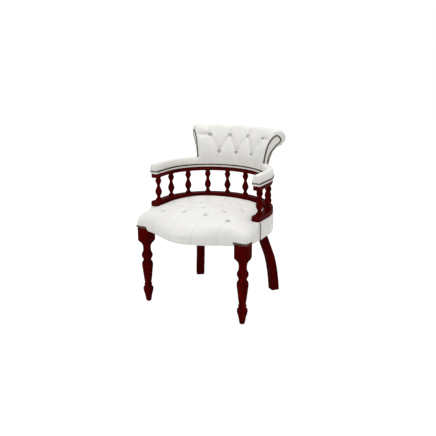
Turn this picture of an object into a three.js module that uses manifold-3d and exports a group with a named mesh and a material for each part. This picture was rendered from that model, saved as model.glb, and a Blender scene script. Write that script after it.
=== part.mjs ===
// Captains chair: turned and sabre legs, a horseshoe spindle gallery, padded arms,
// a low buttoned back with a rolled top, and a buttoned seat with a serpentine front.
// Millimetres. +Z is up, the sitter faces -Y, +X is the right side seen from the front.
// The model is built around the middle of the gallery's plan and is then moved so that
// its origin is on the floor, under the middle of its outer box.
import * as THREE from 'three';
import { mergeVertices } from 'three/addons/utils/BufferGeometryUtils.js';
import Module from 'manifold-3d';

const wasm = await Module();
wasm.setup();

// Clearances and cutting
const GAP = 0.3; // left between pieces that touch
const OVERRUN = 30; // how far a cutter runs past what it cuts
const TRIM_GAP = 0.2; // between a row of nails and the leather under it

// Plan of the gallery: two straight sides joined by half an ellipse, inner face
const PLAN = {
  halfWidth: 251,
  backDepth: 230,
  centreY: -30,
  galleryEndY: -123,
};

// From the seat frame up. The frame's outer face lies `outset` outside the plan.
const SEAT_FRAME = { bottomZ: 376, height: 48, thickness: 30, outset: 36.4 };
const PACKING = { width: 15.7, height: 32 };
const GALLERY = { railHeight: 25, railWidth: 40, clearHeight: 114, edge: 4 };
const UPPER_RAIL = { height: 21, inset: 3.5, width: 31.5, edge: 3, endSetback: 3.5 };

// Front edge of the seat: a raised-cosine serpentine that ends in straight corners
const BOW = { frontY: -332, span: 270, flatX: 225 };

const FRONT_LEG = {
  y: -213.4,
  block: 60,
  shoulderZ: 316,
  bulge: 26.8,
  sides: 16,
  blockRadiusShare: 1.5,
};
// Turned part, from the foot up, as shares of the shoulder height and of the widest bulge
const LEG_TURNING_SHARES = [
  [0, 0.41], [0.016, 0.47], [0.05, 0.55], [0.11, 0.67], [0.17, 0.86], [0.21, 0.92],
  [0.235, 0.84], [0.258, 0.66], [0.28, 0.7], [0.3, 0.62], [0.41, 0.75], [0.52, 0.91],
  [0.6, 1], [0.63, 0.97], [0.672, 0.7], [0.7, 0.77], [0.72, 0.92], [0.755, 1], [0.78, 0.93],
  [0.807, 0.78], [0.85, 0.69], [0.925, 0.8], [0.95, 0.99], [0.975, 1.32], [1, 1.6],
];
const LEG_TENON = { length: 12, width: 10, height: 28 };

const REAR_LEG = { section: 41.5, inset: 11.7, turnDegrees: 37, splay: 105.8 };
const REAR_LEG_PLACE_SHARE = 0.469; // of the way from the back centre to the straight side
// Centre line of the curved leg, as shares of the knee height and of the whole splay
const SABRE_SHARES = [
  [0, 0], [0.08, 0.015], [0.16, 0.05], [0.24, 0.09], [0.32, 0.14], [0.4, 0.2],
  [0.48, 0.28], [0.56, 0.375], [0.65, 0.49], [0.82, 0.74], [1, 1],
];
const LEG_BOLT = { radius: 4, headRadius: 9, headHeight: 4, threadDepth: 18 };
const LEG_BOLT_SHARES = { lower: 0.3, upper: 0.75 }; // of the height of the seat frame
const GALLERY_BOLT = { radius: 3.5, headRadius: 8, headHeight: 4, threadDepth: 15 };
const GALLERY_BOLT_SHARES = [1, 4]; // places along the plan, in spindle pitches

const SPINDLE = { count: 10, pitch: 103, bulb: 16.1, tenonRadius: 6, tenonLength: 12, sides: 10 };
// Turned part between the rails, as shares of the clear height and of the bulb's radius
const SPINDLE_SHARES = [
  [0, 0.94], [0.07, 0.71], [0.14, 0.52], [0.27, 0.88], [0.35, 1], [0.44, 0.89], [0.53, 0.64],
  [0.61, 0.47], [0.76, 0.79], [0.83, 0.91], [0.93, 0.67], [1, 0.89],
];

const WEBBING = { count: 3, width: 50, thickness: 2, pitch: 120, middleY: -15, landing: 12 };
const CORNER_BLOCK = { height: 30, armLength: 60, thickness: 28 };
const SEAT_JOINT_SHARE = 0.65; // of the way from the back centre to the straight side
const DUST_COVER = { thickness: 1.5, edgeInset: 5 };

const ARM = {
  frontY: -124,
  width: 38.5,
  wallHeight: 36,
  crown: 12,
  softEdge: 9,
  cornerRadius: 10,
  wrap: 5.7,
  boardHeight: 14,
  nailRise: 11,
};

const BACK = {
  halfArc: 191,
  height: 207,
  depth: 126,
  padding: 14,
  cover: 4,
  endRound: 13,
  endRoundArc: 16,
  roundFade: 110,
  rollFade: 35,
  shellSplitShare: 0.57,
};
// Front face and rolled top of the back: shares of its depth and of its height
const BACK_FRONT_SHARES = [
  [0, 0], [0, 0.1], [0, 0.21], [0.016, 0.33], [0.05, 0.43], [0.087, 0.527], [0.135, 0.6],
  [0.19, 0.68], [0.262, 0.763], [0.333, 0.83], [0.46, 0.957], [0.54, 0.99], [0.655, 1],
  [0.78, 0.985], [0.89, 0.942], [0.97, 0.88], [1, 0.81], [0.985, 0.73], [0.93, 0.675],
  [0.865, 0.65],
];
// Outer cover: shares of the way from the arm's outer face to the whole depth, and of the height
const BACK_REAR_SHARES = [
  [0, 0], [0, 0.12], [0.035, 0.217], [0.086, 0.304], [0.15, 0.386], [0.217, 0.473],
  [0.315, 0.531], [0.486, 0.592], [0.77, 0.642],
];
// Loop of nails round each end of the back: shares of its depth and of its height over the arm
const FACING_SHARES = [
  [0.103, 0.011], [0.119, 0.12], [0.143, 0.245], [0.179, 0.378], [0.222, 0.484], [0.278, 0.594],
  [0.357, 0.695], [0.448, 0.767], [0.587, 0.818], [0.698, 0.76], [0.754, 0.68], [0.698, 0.604],
  [0.579, 0.527], [0.46, 0.427], [0.39, 0.356], [0.341, 0.284], [0.294, 0.182], [0.258, 0.069],
  [0.242, 0.011],
];
const FACING = { thickness: 2.2 };

const SEAT = {
  hide: 2.3,
  hemDrop: 4,
  cornerRise: 6,
  crownRise: 33,
  frontBulge: 17,
  sideBulge: 3,
  crownHalfWidth: 262,
  centreY: -60,
  bandOutset: 41.5,
  cornerRadius: 5,
};
// Side of the seat cushion from the hem up and over its shoulder: shares of its height to
// the edge, of the bulge outwards and of the shoulder's width inwards
const SEAT_SIDE_SHARES = [
  [0, 0, 0], [0.4, 0.8, 0], [0.68, 1, 0], [0.83, 0.9, 0.16], [0.96, 0.8, 0.5], [1.2, 0.6, 1],
];
const SEAT_SHOULDER = 50;
const CROWN_POWER = 4; // how flat the middle of the crown is
const SEAT_COLUMNS_PER_PITCH = 4;
const SEAT_ROWS_PER_PITCH = 2;

const SEAT_TUFT = {
  pitchX: 114,
  pitchY: 76.5,
  firstY: -188,
  depth: 13,
  radius: 17,
  pleat: 4,
  pleatWidth: 9,
};
const SEAT_BUTTON_SHARES = [
  [-1.5, -0.5, 0.5, 1.5], [-1, 0, 1], [-1.5, -0.5, 0.5, 1.5], [-1, 0, 1], [-0.5, 0.5],
];
const BACK_TUFT = {
  pitch: 88,
  topShare: 0.78,
  lowShare: 0.38,
  depth: 11,
  radius: 15,
  pleat: 4,
  pleatWidth: 8,
};
const BACK_TOP_SHARES = [-1.5, -0.5, 0.5, 1.5];
const BACK_LOW_SHARES = [-1, 0, 1];
const BUTTON = { radius: 9, height: 4, sides: 6, rimShare: 0.4, sink: 2 };

const NAIL = { width: 7, height: 2.4, crestShare: 0.3 };
const LEG_NAILS = { frontLength: 50, sideLength: 42, rise: 4, bulgeShare: 0.35 };

// Materials
const wood = new THREE.MeshStandardMaterial({ color: 0x3c0806, roughness: 0.25, metalness: 0 });
const leather = new THREE.MeshStandardMaterial({ color: 0xeeeeea, roughness: 0.45, metalness: 0 });
const nails = new THREE.MeshStandardMaterial({ color: 0x5a4632, roughness: 0.35, metalness: 0.9 });
const beech = new THREE.MeshStandardMaterial({ color: 0xb98d5f, roughness: 0.7, metalness: 0 });
const jute = new THREE.MeshStandardMaterial({ color: 0xa58c62, roughness: 0.9, metalness: 0 });
const black = new THREE.MeshStandardMaterial({ color: 0x1c1c1e, roughness: 0.9, metalness: 0 });
const steel = new THREE.MeshStandardMaterial({ color: 0x8c8f93, roughness: 0.35, metalness: 1 });

const UP = new THREE.Vector3(0, 0, 1);
const SIDES = { right: 1, left: -1 };

// Levels and places that follow from the sizes above
const frameTopZ = SEAT_FRAME.bottomZ + SEAT_FRAME.height;
const galleryZ = frameTopZ + PACKING.height;
const galleryTopZ = galleryZ + GALLERY.railHeight;
const upperRailZ = galleryTopZ + GALLERY.clearHeight + 2 * GAP;
const armZ = upperRailZ + UPPER_RAIL.height + GAP; // underside of the arm leather
const hemZ = SEAT_FRAME.bottomZ - SEAT.hemDrop;
const cornerHemZ = SEAT_FRAME.bottomZ + SEAT.cornerRise;
const legNailZ = cornerHemZ + LEG_NAILS.rise;
const seatEdgeZ = galleryZ - GAP;
const seatCrownZ = galleryZ + SEAT.crownRise;
const legBlockHalf = FRONT_LEG.block / 2;
const frameHalfWidth = PLAN.halfWidth + SEAT_FRAME.outset;
const frontLegX = frameHalfWidth - legBlockHalf;
const seatSideX = frameHalfWidth + GAP + SEAT.hide;
const seatCornerY = FRONT_LEG.y - legBlockHalf - GAP - SEAT.hide;
const spindleLine = GALLERY.railWidth / 2;
const galleryBoltArcs = GALLERY_BOLT_SHARES.map((share) => share * SPINDLE.pitch);

const chair = new THREE.Group();

function addPiece(name, geometry, material) {
  const mesh = new THREE.Mesh(geometry, material);
  mesh.name = name;
  chair.add(mesh);
  return mesh;
}

// Solids and booleans

function toSolid(geometry) {
  const bare = geometry.clone();
  bare.deleteAttribute('normal');
  bare.deleteAttribute('uv');
  const merged = mergeVertices(bare);
  const solid = new wasm.Manifold(new wasm.Mesh({
    numProp: 3,
    vertProperties: new Float32Array(merged.attributes.position.array),
    triVerts: new Uint32Array(merged.index.array),
  }));
  return solid;
}

function toGeometry(solid) {
  const mesh = solid.getMesh();
  const geometry = new THREE.BufferGeometry();
  geometry.setAttribute('position', new THREE.BufferAttribute(mesh.vertProperties, 3));
  geometry.setIndex(new THREE.BufferAttribute(mesh.triVerts, 1));
  geometry.computeVertexNormals();
  return geometry;
}

function cutAll(geometry, cutters) {
  let solid = toSolid(geometry);
  for (const cutter of cutters) solid = solid.subtract(toSolid(cutter));
  return toGeometry(solid);
}

function joinAll(geometry, additions) {
  let solid = toSolid(geometry);
  for (const addition of additions) solid = solid.add(toSolid(addition));
  return toGeometry(solid);
}

// A closed body from triangles, turned the right way out
function closedGeometry(points, triangles) {
  let volume = 0;
  const cross = new THREE.Vector3();
  for (const [a, b, c] of triangles) {
    volume += points[a].dot(cross.crossVectors(points[b], points[c]));
  }
  const order = volume < 0 ? ([a, b, c]) => [a, c, b] : (triangle) => triangle;
  const geometry = new THREE.BufferGeometry();
  const flat = points.flatMap((point) => [point.x, point.y, point.z]);
  geometry.setAttribute('position', new THREE.Float32BufferAttribute(flat, 3));
  geometry.setIndex(triangles.flatMap(order));
  geometry.computeVertexNormals();
  return geometry;
}

// Skin over a row of closed rings. capOutline(ring) gives the end rings as flat outlines.
function loft(rings, capOutline) {
  const size = rings[0].length;
  const triangles = [];
  for (let r = 0; r < rings.length - 1; r += 1) {
    for (let i = 0; i < size; i += 1) {
      const next = (i + 1) % size;
      const [a, b] = [r * size + i, r * size + next];
      const [c, d] = [a + size, b + size];
      triangles.push([a, b, d], [a, d, c]);
    }
  }
  const last = (rings.length - 1) * size;
  triangles.push(...capTriangles(capOutline(0), false));
  for (const corners of capTriangles(capOutline(rings.length - 1), true)) {
    triangles.push(corners.map((corner) => corner + last));
  }
  return closedGeometry(rings.flat(), triangles);
}

// Triangles over a flat outline that use every one of its points, also those on straight
// runs, wound the same way as the outline or against it
function capTriangles(outline, same) {
  const size = outline.length;
  const triangles = THREE.ShapeUtils.triangulateShape(outline, []);
  const used = new Set(triangles.flat());
  for (let i = 0; i < size; i += 1) {
    if (used.has(i)) continue;
    let before = (i + size - 1) % size;
    while (!used.has(before)) before = (before + size - 1) % size;
    let after = (i + 1) % size;
    while (!used.has(after)) after = (after + 1) % size;
    const home = triangles.findIndex((triangle) => triangle.includes(before) && triangle.includes(after));
    const apex = triangles[home].find((corner) => corner !== before && corner !== after);
    triangles.splice(home, 1, [before, i, apex], [i, after, apex]);
    used.add(i);
  }
  const whole = THREE.ShapeUtils.area(outline);
  return triangles.map(([a, b, c]) => {
    const area = THREE.ShapeUtils.area([outline[a], outline[b], outline[c]]);
    return (area * whole > 0) === same ? [a, b, c] : [a, c, b];
  });
}

// Upright prism over a plan outline
function prism(outline, bottomZ, topZ) {
  const rings = [bottomZ, topZ].map((z) => outline.map((point) => new THREE.Vector3(point.x, point.y, z)));
  return loft(rings, () => outline);
}

function box(centre, sizeX, sizeY, sizeZ) {
  const geometry = new THREE.BoxGeometry(sizeX, sizeY, sizeZ);
  geometry.translate(centre.x, centre.y, centre.z);
  return geometry;
}

// Turned piece along `axis` from `from`; profile is [distance along, radius]
function turned(profile, sides, from, axis) {
  const lathe = new THREE.LatheGeometry(profile.map(([h, r]) => new THREE.Vector2(r, h)), sides);
  const latheAxis = new THREE.Vector3(0, 1, 0);
  lathe.applyQuaternion(new THREE.Quaternion().setFromUnitVectors(latheAxis, axis));
  lathe.translate(from.x, from.y, from.z);
  return lathe;
}

function rod(radius, length, from, axis, sides = SPINDLE.sides) {
  return turned([[0, 0], [0, radius], [length, radius], [length, 0]], sides, from, axis);
}

// Plan curve of the gallery

const PLAN_STEPS = 360;

function ellipsePlace(turn, line) {
  const cos = Math.cos(turn);
  const sin = Math.sin(turn);
  const normal = new THREE.Vector2(cos / PLAN.halfWidth, sin / PLAN.backDepth).normalize();
  const x = PLAN.halfWidth * cos + normal.x * line;
  const y = PLAN.centreY + PLAN.backDepth * sin + normal.y * line;
  return { x, y, normal };
}

// Lengths from the back centre to the start of the straight side, on the line `line` outwards
function arcTable(line) {
  const table = [0];
  let before = ellipsePlace(Math.PI / 2, line);
  for (let i = 1; i <= PLAN_STEPS; i += 1) {
    const here = ellipsePlace((Math.PI / 2) * (1 - i / PLAN_STEPS), line);
    table.push(table[i - 1] + Math.hypot(here.x - before.x, here.y - before.y));
    before = here;
  }
  return table;
}

const arcTables = new Map();

function curveLength(line) {
  if (!arcTables.has(line)) arcTables.set(line, arcTable(line));
  return arcTables.get(line)[PLAN_STEPS];
}

// Place on the plan at a signed distance from the back centre, positive to the right
function planPlace(arc, line) {
  const side = arc < 0 ? -1 : 1;
  const distance = Math.abs(arc);
  const whole = curveLength(line);
  if (distance >= whole) {
    const y = PLAN.centreY - (distance - whole);
    return { x: side * PLAN.halfWidth, y, normal: new THREE.Vector2(side, 0) };
  }
  const table = arcTables.get(line);
  let i = Math.floor((distance / whole) * PLAN_STEPS);
  while (i > 0 && table[i] > distance) i -= 1;
  while (table[i + 1] < distance) i += 1;
  const share = (i + (distance - table[i]) / (table[i + 1] - table[i])) / PLAN_STEPS;
  const place = ellipsePlace((Math.PI / 2) * (1 - share), 0);
  const normal = new THREE.Vector2(side * place.normal.x, place.normal.y);
  return { x: side * place.x, y: place.y, normal };
}

function arcOfFront(frontY, line) {
  return curveLength(line) + PLAN.centreY - frontY;
}

function pointOut(place, outset, z) {
  return new THREE.Vector3(place.x + place.normal.x * outset, place.y + place.normal.y * outset, z);
}

function evenArcs(from, to, steps) {
  return Array.from({ length: steps + 1 }, (_, i) => from + ((to - from) * i) / steps);
}

// Every piece that follows the plan has its facets at the same stations, so that the gap
// between two of them stays even. The stations lie on the columns of the back's buttons.
const STATIONS_PER_PITCH = 4;

function arcsBetween(from, to) {
  const step = BACK_TUFT.pitch / STATIONS_PER_PITCH;
  const curve = curveLength(0);
  const count = Math.floor(curve / step - GAP / step);
  const stations = [-curve, ...evenArcs(-count, count, 2 * count).map((k) => k * step), curve];
  const [low, high] = [Math.min(from, to), Math.max(from, to)];
  const inside = stations.filter((arc) => arc > low + GAP && arc < high - GAP);
  return [low, ...inside, high];
}

// Arcs of a whole horseshoe, from one front end to the other
function horseshoeArcs(frontY) {
  const end = arcOfFront(frontY, 0);
  return arcsBetween(-end, end);
}

// Carries a section of [outset, z] points along the plan
function sweep(arcs, sectionAt) {
  const sections = arcs.map((arc, i) => sectionAt(arc, i));
  const rings = arcs.map((arc, i) => {
    const place = planPlace(arc, 0);
    return sections[i].map(([outset, z]) => pointOut(place, outset, z));
  });
  return loft(rings, (r) => {
    const section = sections[r === 0 ? 0 : sections.length - 1];
    return section.map(([outset, z]) => new THREE.Vector2(outset, z));
  });
}

function rectangle(inner, outer, bottomZ, topZ) {
  return [[inner, bottomZ], [outer, bottomZ], [outer, topZ], [inner, topZ]];
}

// Rectangle with the two edges of its showing face taken off. A negative height from `hiddenZ`
// to `showZ` shows the underside.
function easedRectangle(inner, outer, hiddenZ, showZ, edge) {
  const shoulder = showZ - Math.sign(showZ - hiddenZ) * edge;
  return [
    [inner, hiddenZ], [outer, hiddenZ], [outer, shoulder], [outer - edge, showZ], [inner + edge, showZ],
    [inner, shoulder],
  ];
}

// Moves an open outline sideways by a distance, to its left as it runs
function shifted(outline, distance) {
  return outline.map((point, i) => {
    const before = outline[Math.max(i - 1, 0)];
    const after = outline[Math.min(i + 1, outline.length - 1)];
    const run = new THREE.Vector2(after[0] - before[0], after[1] - before[1]).normalize();
    return [point[0] - run.y * distance, point[1] + run.x * distance];
  });
}

// Front legs

function frontLeg(side) {
  const centre = new THREE.Vector3(side * frontLegX, FRONT_LEG.y, 0);
  const profile = LEG_TURNING_SHARES.map(([h, r]) => [h * FRONT_LEG.shoulderZ, r * FRONT_LEG.bulge]);
  const blockRadius = legBlockHalf * FRONT_LEG.blockRadiusShare;
  const outline = [
    [0, 0], ...profile,
    [FRONT_LEG.shoulderZ, blockRadius], [frameTopZ, blockRadius], [frameTopZ, 0],
  ];
  const lathe = toSolid(turned(outline, FRONT_LEG.sides, centre, UP));
  const middle = new THREE.Vector3(centre.x, centre.y, frameTopZ / 2);
  const square = box(middle, FRONT_LEG.block, FRONT_LEG.block, frameTopZ + OVERRUN);
  const blank = toGeometry(lathe.intersect(toSolid(square)));
  return cutAll(blank, [frontTenon(side, GAP), sideTenon(side, GAP)]);
}

function legBlock(side, grow) {
  const height = frameTopZ - SEAT_FRAME.bottomZ + OVERRUN * 2;
  const middleZ = SEAT_FRAME.bottomZ + height / 2 - OVERRUN;
  const centre = new THREE.Vector3(side * frontLegX, FRONT_LEG.y, middleZ);
  return box(centre, FRONT_LEG.block + 2 * grow, FRONT_LEG.block + 2 * grow, height);
}

const frameMiddleZ = (SEAT_FRAME.bottomZ + frameTopZ) / 2;

// Tenons of the front and side seat rails in the leg block. A mortise is the tenon grown.
function frontTenon(side, grow) {
  const face = frontLegX - legBlockHalf;
  const y = frontRailY(face) + SEAT_FRAME.thickness / 2;
  const length = LEG_TENON.length + 2 * grow + SEAT_FRAME.thickness / 2;
  const x = face + LEG_TENON.length + grow - length / 2;
  const centre = new THREE.Vector3(side * x, y, frameMiddleZ);
  return box(centre, length, LEG_TENON.width + 2 * grow, LEG_TENON.height + 2 * grow);
}

function sideTenon(side, grow) {
  const face = FRONT_LEG.y + legBlockHalf;
  const x = frameHalfWidth - SEAT_FRAME.thickness / 2;
  const length = LEG_TENON.length + 2 * grow + SEAT_FRAME.thickness / 2;
  const y = face - LEG_TENON.length - grow + length / 2;
  const centre = new THREE.Vector3(side * x, y, frameMiddleZ);
  return box(centre, LEG_TENON.width + 2 * grow, length, LEG_TENON.height + 2 * grow);
}

// Rear legs: a square section carried along the sabre curve, upright above the knee

const sabreTurn = THREE.MathUtils.degToRad(REAR_LEG.turnDegrees);
const splayDirection = new THREE.Vector2(Math.sin(sabreTurn), Math.cos(sabreTurn));

// Centre of the leg in plan: 1 at the knee, inside the seat frame, and 0 at the foot
function sabreCentre(splayShare) {
  const knee = pointOut(planPlace(REAR_LEG_PLACE_SHARE * curveLength(0), 0), -REAR_LEG.inset, 0);
  const travel = REAR_LEG.splay * (1 - splayShare);
  return [knee.x + splayDirection.x * travel, knee.y + splayDirection.y * travel];
}

function rearLegBlank(side, grow) {
  const half = REAR_LEG.section / 2 + grow;
  const out = splayDirection;
  const along = new THREE.Vector2(-out.y, out.x);
  const stations = SABRE_SHARES.map(([h, s]) => [h * hemZ, s]);
  stations.push([frameTopZ + grow, 1]);
  const rings = stations.map(([z, splayShare]) => {
    const [x, y] = sabreCentre(splayShare);
    return [[-1, -1], [1, -1], [1, 1], [-1, 1]].map(([a, b]) => new THREE.Vector3(
      side * (x + (out.x * a + along.x * b) * half),
      y + (out.y * a + along.y * b) * half,
      z,
    ));
  });
  return loft(rings, (r) => rings[r].map((point) => new THREE.Vector2(point.x, point.y)));
}

function legBoltRun(side) {
  const [x, y] = sabreCentre(1);
  const half = REAR_LEG.section / 2;
  const start = new THREE.Vector3(side * (x - splayDirection.x * half), y - splayDirection.y * half, 0);
  return { start, axis: new THREE.Vector3(side * splayDirection.x, splayDirection.y, 0) };
}

function legBoltZ(share) {
  return SEAT_FRAME.bottomZ + (frameTopZ - SEAT_FRAME.bottomZ) * share;
}

function legBolt(side, share, grow) {
  const { start, axis } = legBoltRun(side);
  const from = start.clone().setZ(legBoltZ(share));
  const length = REAR_LEG.section + LEG_BOLT.threadDepth + grow;
  if (grow > 0) {
    return rod(LEG_BOLT.radius + grow, length + OVERRUN, from.addScaledVector(axis, -OVERRUN), axis);
  }
  const head = LEG_BOLT.headHeight + GAP;
  const profile = [
    [-head, 0], [-head, LEG_BOLT.headRadius], [-GAP, LEG_BOLT.headRadius], [-GAP, LEG_BOLT.radius],
    [length, LEG_BOLT.radius], [length, 0],
  ];
  return turned(profile, SPINDLE.sides, from, axis);
}

// Seat frame

// Rise of the serpentine at a place across, unscaled
function bowRise(x) {
  return 1 - Math.cos((Math.PI * Math.min(Math.abs(x), BOW.flatX)) / BOW.span);
}

const bowScale = (seatCornerY - BOW.frontY) / bowRise(BOW.flatX);

function bowY(x) {
  return BOW.frontY + bowScale * bowRise(x);
}

// Outer face of the front seat rail, inside the leather
function frontRailY(x) {
  return bowY(x) + SEAT.hide + GAP;
}

const BOW_STEPS = 18;

function frontRail() {
  const face = frontLegX - legBlockHalf - GAP;
  const xs = evenArcs(-face, face, BOW_STEPS);
  const front = xs.map((x) => new THREE.Vector2(x, frontRailY(x)));
  const rear = xs.map((x) => new THREE.Vector2(x, frontRailY(x) + SEAT_FRAME.thickness)).reverse();
  const rail = prism([...front, ...rear], SEAT_FRAME.bottomZ, frameTopZ);
  return joinAll(rail, [frontTenon(-1, 0), frontTenon(1, 0)]);
}

const railInner = SEAT_FRAME.outset - SEAT_FRAME.thickness;
const seatJointArc = curveLength(0) * SEAT_JOINT_SHARE;

function railSection() {
  return rectangle(railInner, SEAT_FRAME.outset, SEAT_FRAME.bottomZ, frameTopZ);
}

function rearCutters() {
  const cutters = [];
  for (const side of Object.values(SIDES)) {
    cutters.push(rearLegBlank(side, GAP));
    for (const share of Object.values(LEG_BOLT_SHARES)) cutters.push(legBolt(side, share, GAP));
    for (const arc of galleryBoltArcs) cutters.push(galleryBolt(side * arc, GAP));
  }
  return cutters;
}

function sideRail(side) {
  const end = arcOfFront(FRONT_LEG.y + legBlockHalf + GAP, 0);
  const rail = sweep(arcsBetween(side * (seatJointArc + GAP), side * end), railSection);
  return cutAll(joinAll(rail, [sideTenon(side, 0)]), rearCutters());
}

function backRail() {
  const rail = sweep(arcsBetween(-seatJointArc, seatJointArc), railSection);
  return cutAll(rail, rearCutters());
}

// Block in a front corner, fitted to both rails and to the leg
function frontCornerBlock(side) {
  const legX = frontLegX - legBlockHalf - GAP;
  const legY = FRONT_LEG.y + legBlockHalf + GAP;
  const railX = PLAN.halfWidth + railInner - GAP;
  const xs = evenArcs(legX, legX - CORNER_BLOCK.armLength, 4);
  const alongFront = xs.map((x) => [x, frontRailY(x) + SEAT_FRAME.thickness + GAP]);
  const outline = [[legX, legY], ...alongFront, [railX, legY + CORNER_BLOCK.armLength], [railX, legY]];
  const points = outline.map(([x, y]) => new THREE.Vector2(side * x, y));
  const low = frameMiddleZ - CORNER_BLOCK.height / 2;
  return prism(points, low, low + CORNER_BLOCK.height);
}

// Block behind the joint between a side rail and the back rail
function rearCornerBlock(side) {
  const low = frameMiddleZ - CORNER_BLOCK.height / 2;
  const inner = railInner - GAP - CORNER_BLOCK.thickness;
  const section = rectangle(inner, railInner - GAP, low, low + CORNER_BLOCK.height);
  const half = CORNER_BLOCK.armLength / 2;
  const arcs = arcsBetween(side * (seatJointArc - half), side * (seatJointArc + half));
  return cutAll(sweep(arcs, () => section), [rearLegBlank(side, GAP)]);
}

// Webbing: three straps each way, tacked to the top of the frame, the second layer on the first

const straps = Array.from({ length: WEBBING.count }, (_, i) => i);
const strapZ = frameTopZ + GAP;
const upperStrapZ = strapZ + WEBBING.thickness + GAP;

// Place of a strap in its row, in pitches from the middle one
function strapStep(index) {
  return index - (WEBBING.count - 1) / 2;
}

function strapAcross(index, grow) {
  const y = WEBBING.middleY + strapStep(index) * WEBBING.pitch;
  const reach = strapHalfLength(y) + WEBBING.landing + grow;
  const centre = new THREE.Vector3(0, y, strapZ + WEBBING.thickness / 2);
  return box(centre, 2 * reach, WEBBING.width + 2 * grow, WEBBING.thickness + 2 * grow);
}

// Half the clear width between the seat rails at a strap's narrower edge
function strapHalfLength(y) {
  const far = y + WEBBING.width / 2 - PLAN.centreY;
  if (far <= 0) return PLAN.halfWidth + railInner;
  const across = Math.sqrt(1 - (far / (PLAN.backDepth + railInner)) ** 2);
  return (PLAN.halfWidth + railInner) * across;
}

function strapAlong(index, grow) {
  const x = strapStep(index) * WEBBING.pitch;
  const half = WEBBING.width / 2;
  const front = frontRailY(Math.abs(x) + half) + SEAT_FRAME.thickness - WEBBING.landing;
  const across = (Math.abs(x) + half) / (PLAN.halfWidth + railInner);
  const rear = PLAN.centreY + (PLAN.backDepth + railInner) * Math.sqrt(1 - across ** 2) + WEBBING.landing;
  const centre = new THREE.Vector3(x, (front + rear) / 2, upperStrapZ + WEBBING.thickness / 2);
  return box(centre, WEBBING.width + 2 * grow, rear - front + 2 * grow, WEBBING.thickness + 2 * grow);
}

// Outline of the whole seat frame in plan, grown by a distance
function frameOutline(grow) {
  const legX = frontLegX - legBlockHalf;
  const frontY = FRONT_LEG.y - legBlockHalf - grow;
  const xs = evenArcs(-legX, legX, BOW_STEPS);
  const front = xs.map((x) => new THREE.Vector2(x, Math.min(frontRailY(x) - grow, frontY)));
  const side = frameHalfWidth + grow;
  const points = [...front, new THREE.Vector2(side, frontY)];
  for (const arc of arcsBetween(-curveLength(0), curveLength(0)).reverse()) {
    const point = pointOut(planPlace(arc, 0), SEAT_FRAME.outset + grow, 0);
    points.push(new THREE.Vector2(point.x, point.y));
  }
  points.push(new THREE.Vector2(-side, frontY));
  return points;
}

function dustCover() {
  const top = SEAT_FRAME.bottomZ - GAP;
  const sheet = prism(frameOutline(-DUST_COVER.edgeInset), top - DUST_COVER.thickness, top);
  const sides = Object.values(SIDES);
  const blocks = sides.map((side) => legBlock(side, GAP));
  const boltHeads = sides.flatMap((side) => galleryBoltArcs.map((arc) => galleryBoltHeadRoom(side * arc)));
  return cutAll(sheet, [...blocks, ...sides.map((side) => rearLegBlank(side, GAP)), ...boltHeads]);
}

// Gallery

const packingInner = SEAT_FRAME.outset - PACKING.width;

function packingRail() {
  const section = rectangle(packingInner, SEAT_FRAME.outset, frameTopZ + GAP, galleryZ - GAP);
  const rail = sweep(horseshoeArcs(PLAN.galleryEndY), () => section);
  return cutAll(rail, galleryBoltHoles());
}

function spindleArcs() {
  const middle = (SPINDLE.count - 1) / 2;
  return Array.from({ length: SPINDLE.count }, (_, i) => (i - middle) * SPINDLE.pitch);
}

function spindleFoot(arc) {
  return pointOut(planPlace(arc, spindleLine), spindleLine, galleryTopZ + GAP);
}

function spindleSocket(arc, bottomZ, topZ) {
  const foot = spindleFoot(arc).setZ(bottomZ);
  return rod(SPINDLE.tenonRadius + GAP, topZ - bottomZ, foot, UP);
}

function spindle(arc) {
  const turning = SPINDLE_SHARES.map(([h, r]) => [h * GALLERY.clearHeight, r * SPINDLE.bulb]);
  const top = GALLERY.clearHeight;
  const profile = [
    [-SPINDLE.tenonLength, 0], [-SPINDLE.tenonLength, SPINDLE.tenonRadius], [0, SPINDLE.tenonRadius],
    ...turning,
    [top, SPINDLE.tenonRadius],
    [top + SPINDLE.tenonLength, SPINDLE.tenonRadius],
    [top + SPINDLE.tenonLength, 0],
  ];
  return turned(profile, SPINDLE.sides, spindleFoot(arc), UP);
}

function galleryBoltRun(arc) {
  const outset = SEAT_FRAME.outset - PACKING.width / 2;
  return pointOut(planPlace(arc, 0), outset, SEAT_FRAME.bottomZ);
}

function galleryBolt(arc, grow) {
  const from = galleryBoltRun(arc);
  const length = galleryZ - SEAT_FRAME.bottomZ + GALLERY_BOLT.threadDepth;
  if (grow > 0) {
    return rod(GALLERY_BOLT.radius + grow, length + OVERRUN + grow, from.setZ(from.z - OVERRUN), UP);
  }
  const head = GALLERY_BOLT.headHeight + GAP;
  const profile = [
    [-head, 0], [-head, GALLERY_BOLT.headRadius],
    [-GAP, GALLERY_BOLT.headRadius], [-GAP, GALLERY_BOLT.radius],
    [length, GALLERY_BOLT.radius], [length, 0],
  ];
  return turned(profile, SPINDLE.sides, from, UP);
}

function galleryBoltHeadRoom(arc) {
  const from = galleryBoltRun(arc);
  return rod(GALLERY_BOLT.headRadius + 2 * GAP, 2 * OVERRUN, from.setZ(from.z - OVERRUN), UP);
}

function galleryBoltHoles() {
  return Object.values(SIDES).flatMap((side) => galleryBoltArcs.map((arc) => galleryBolt(side * arc, GAP)));
}

function lowerRail() {
  const section = easedRectangle(0, GALLERY.railWidth, galleryZ, galleryTopZ, GALLERY.edge);
  const rail = sweep(horseshoeArcs(PLAN.galleryEndY), () => section);
  const floor = galleryTopZ - SPINDLE.tenonLength;
  const sockets = spindleArcs().map((arc) => spindleSocket(arc, floor, galleryTopZ + OVERRUN));
  return cutAll(rail, [...sockets, ...galleryBoltHoles()]);
}

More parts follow.
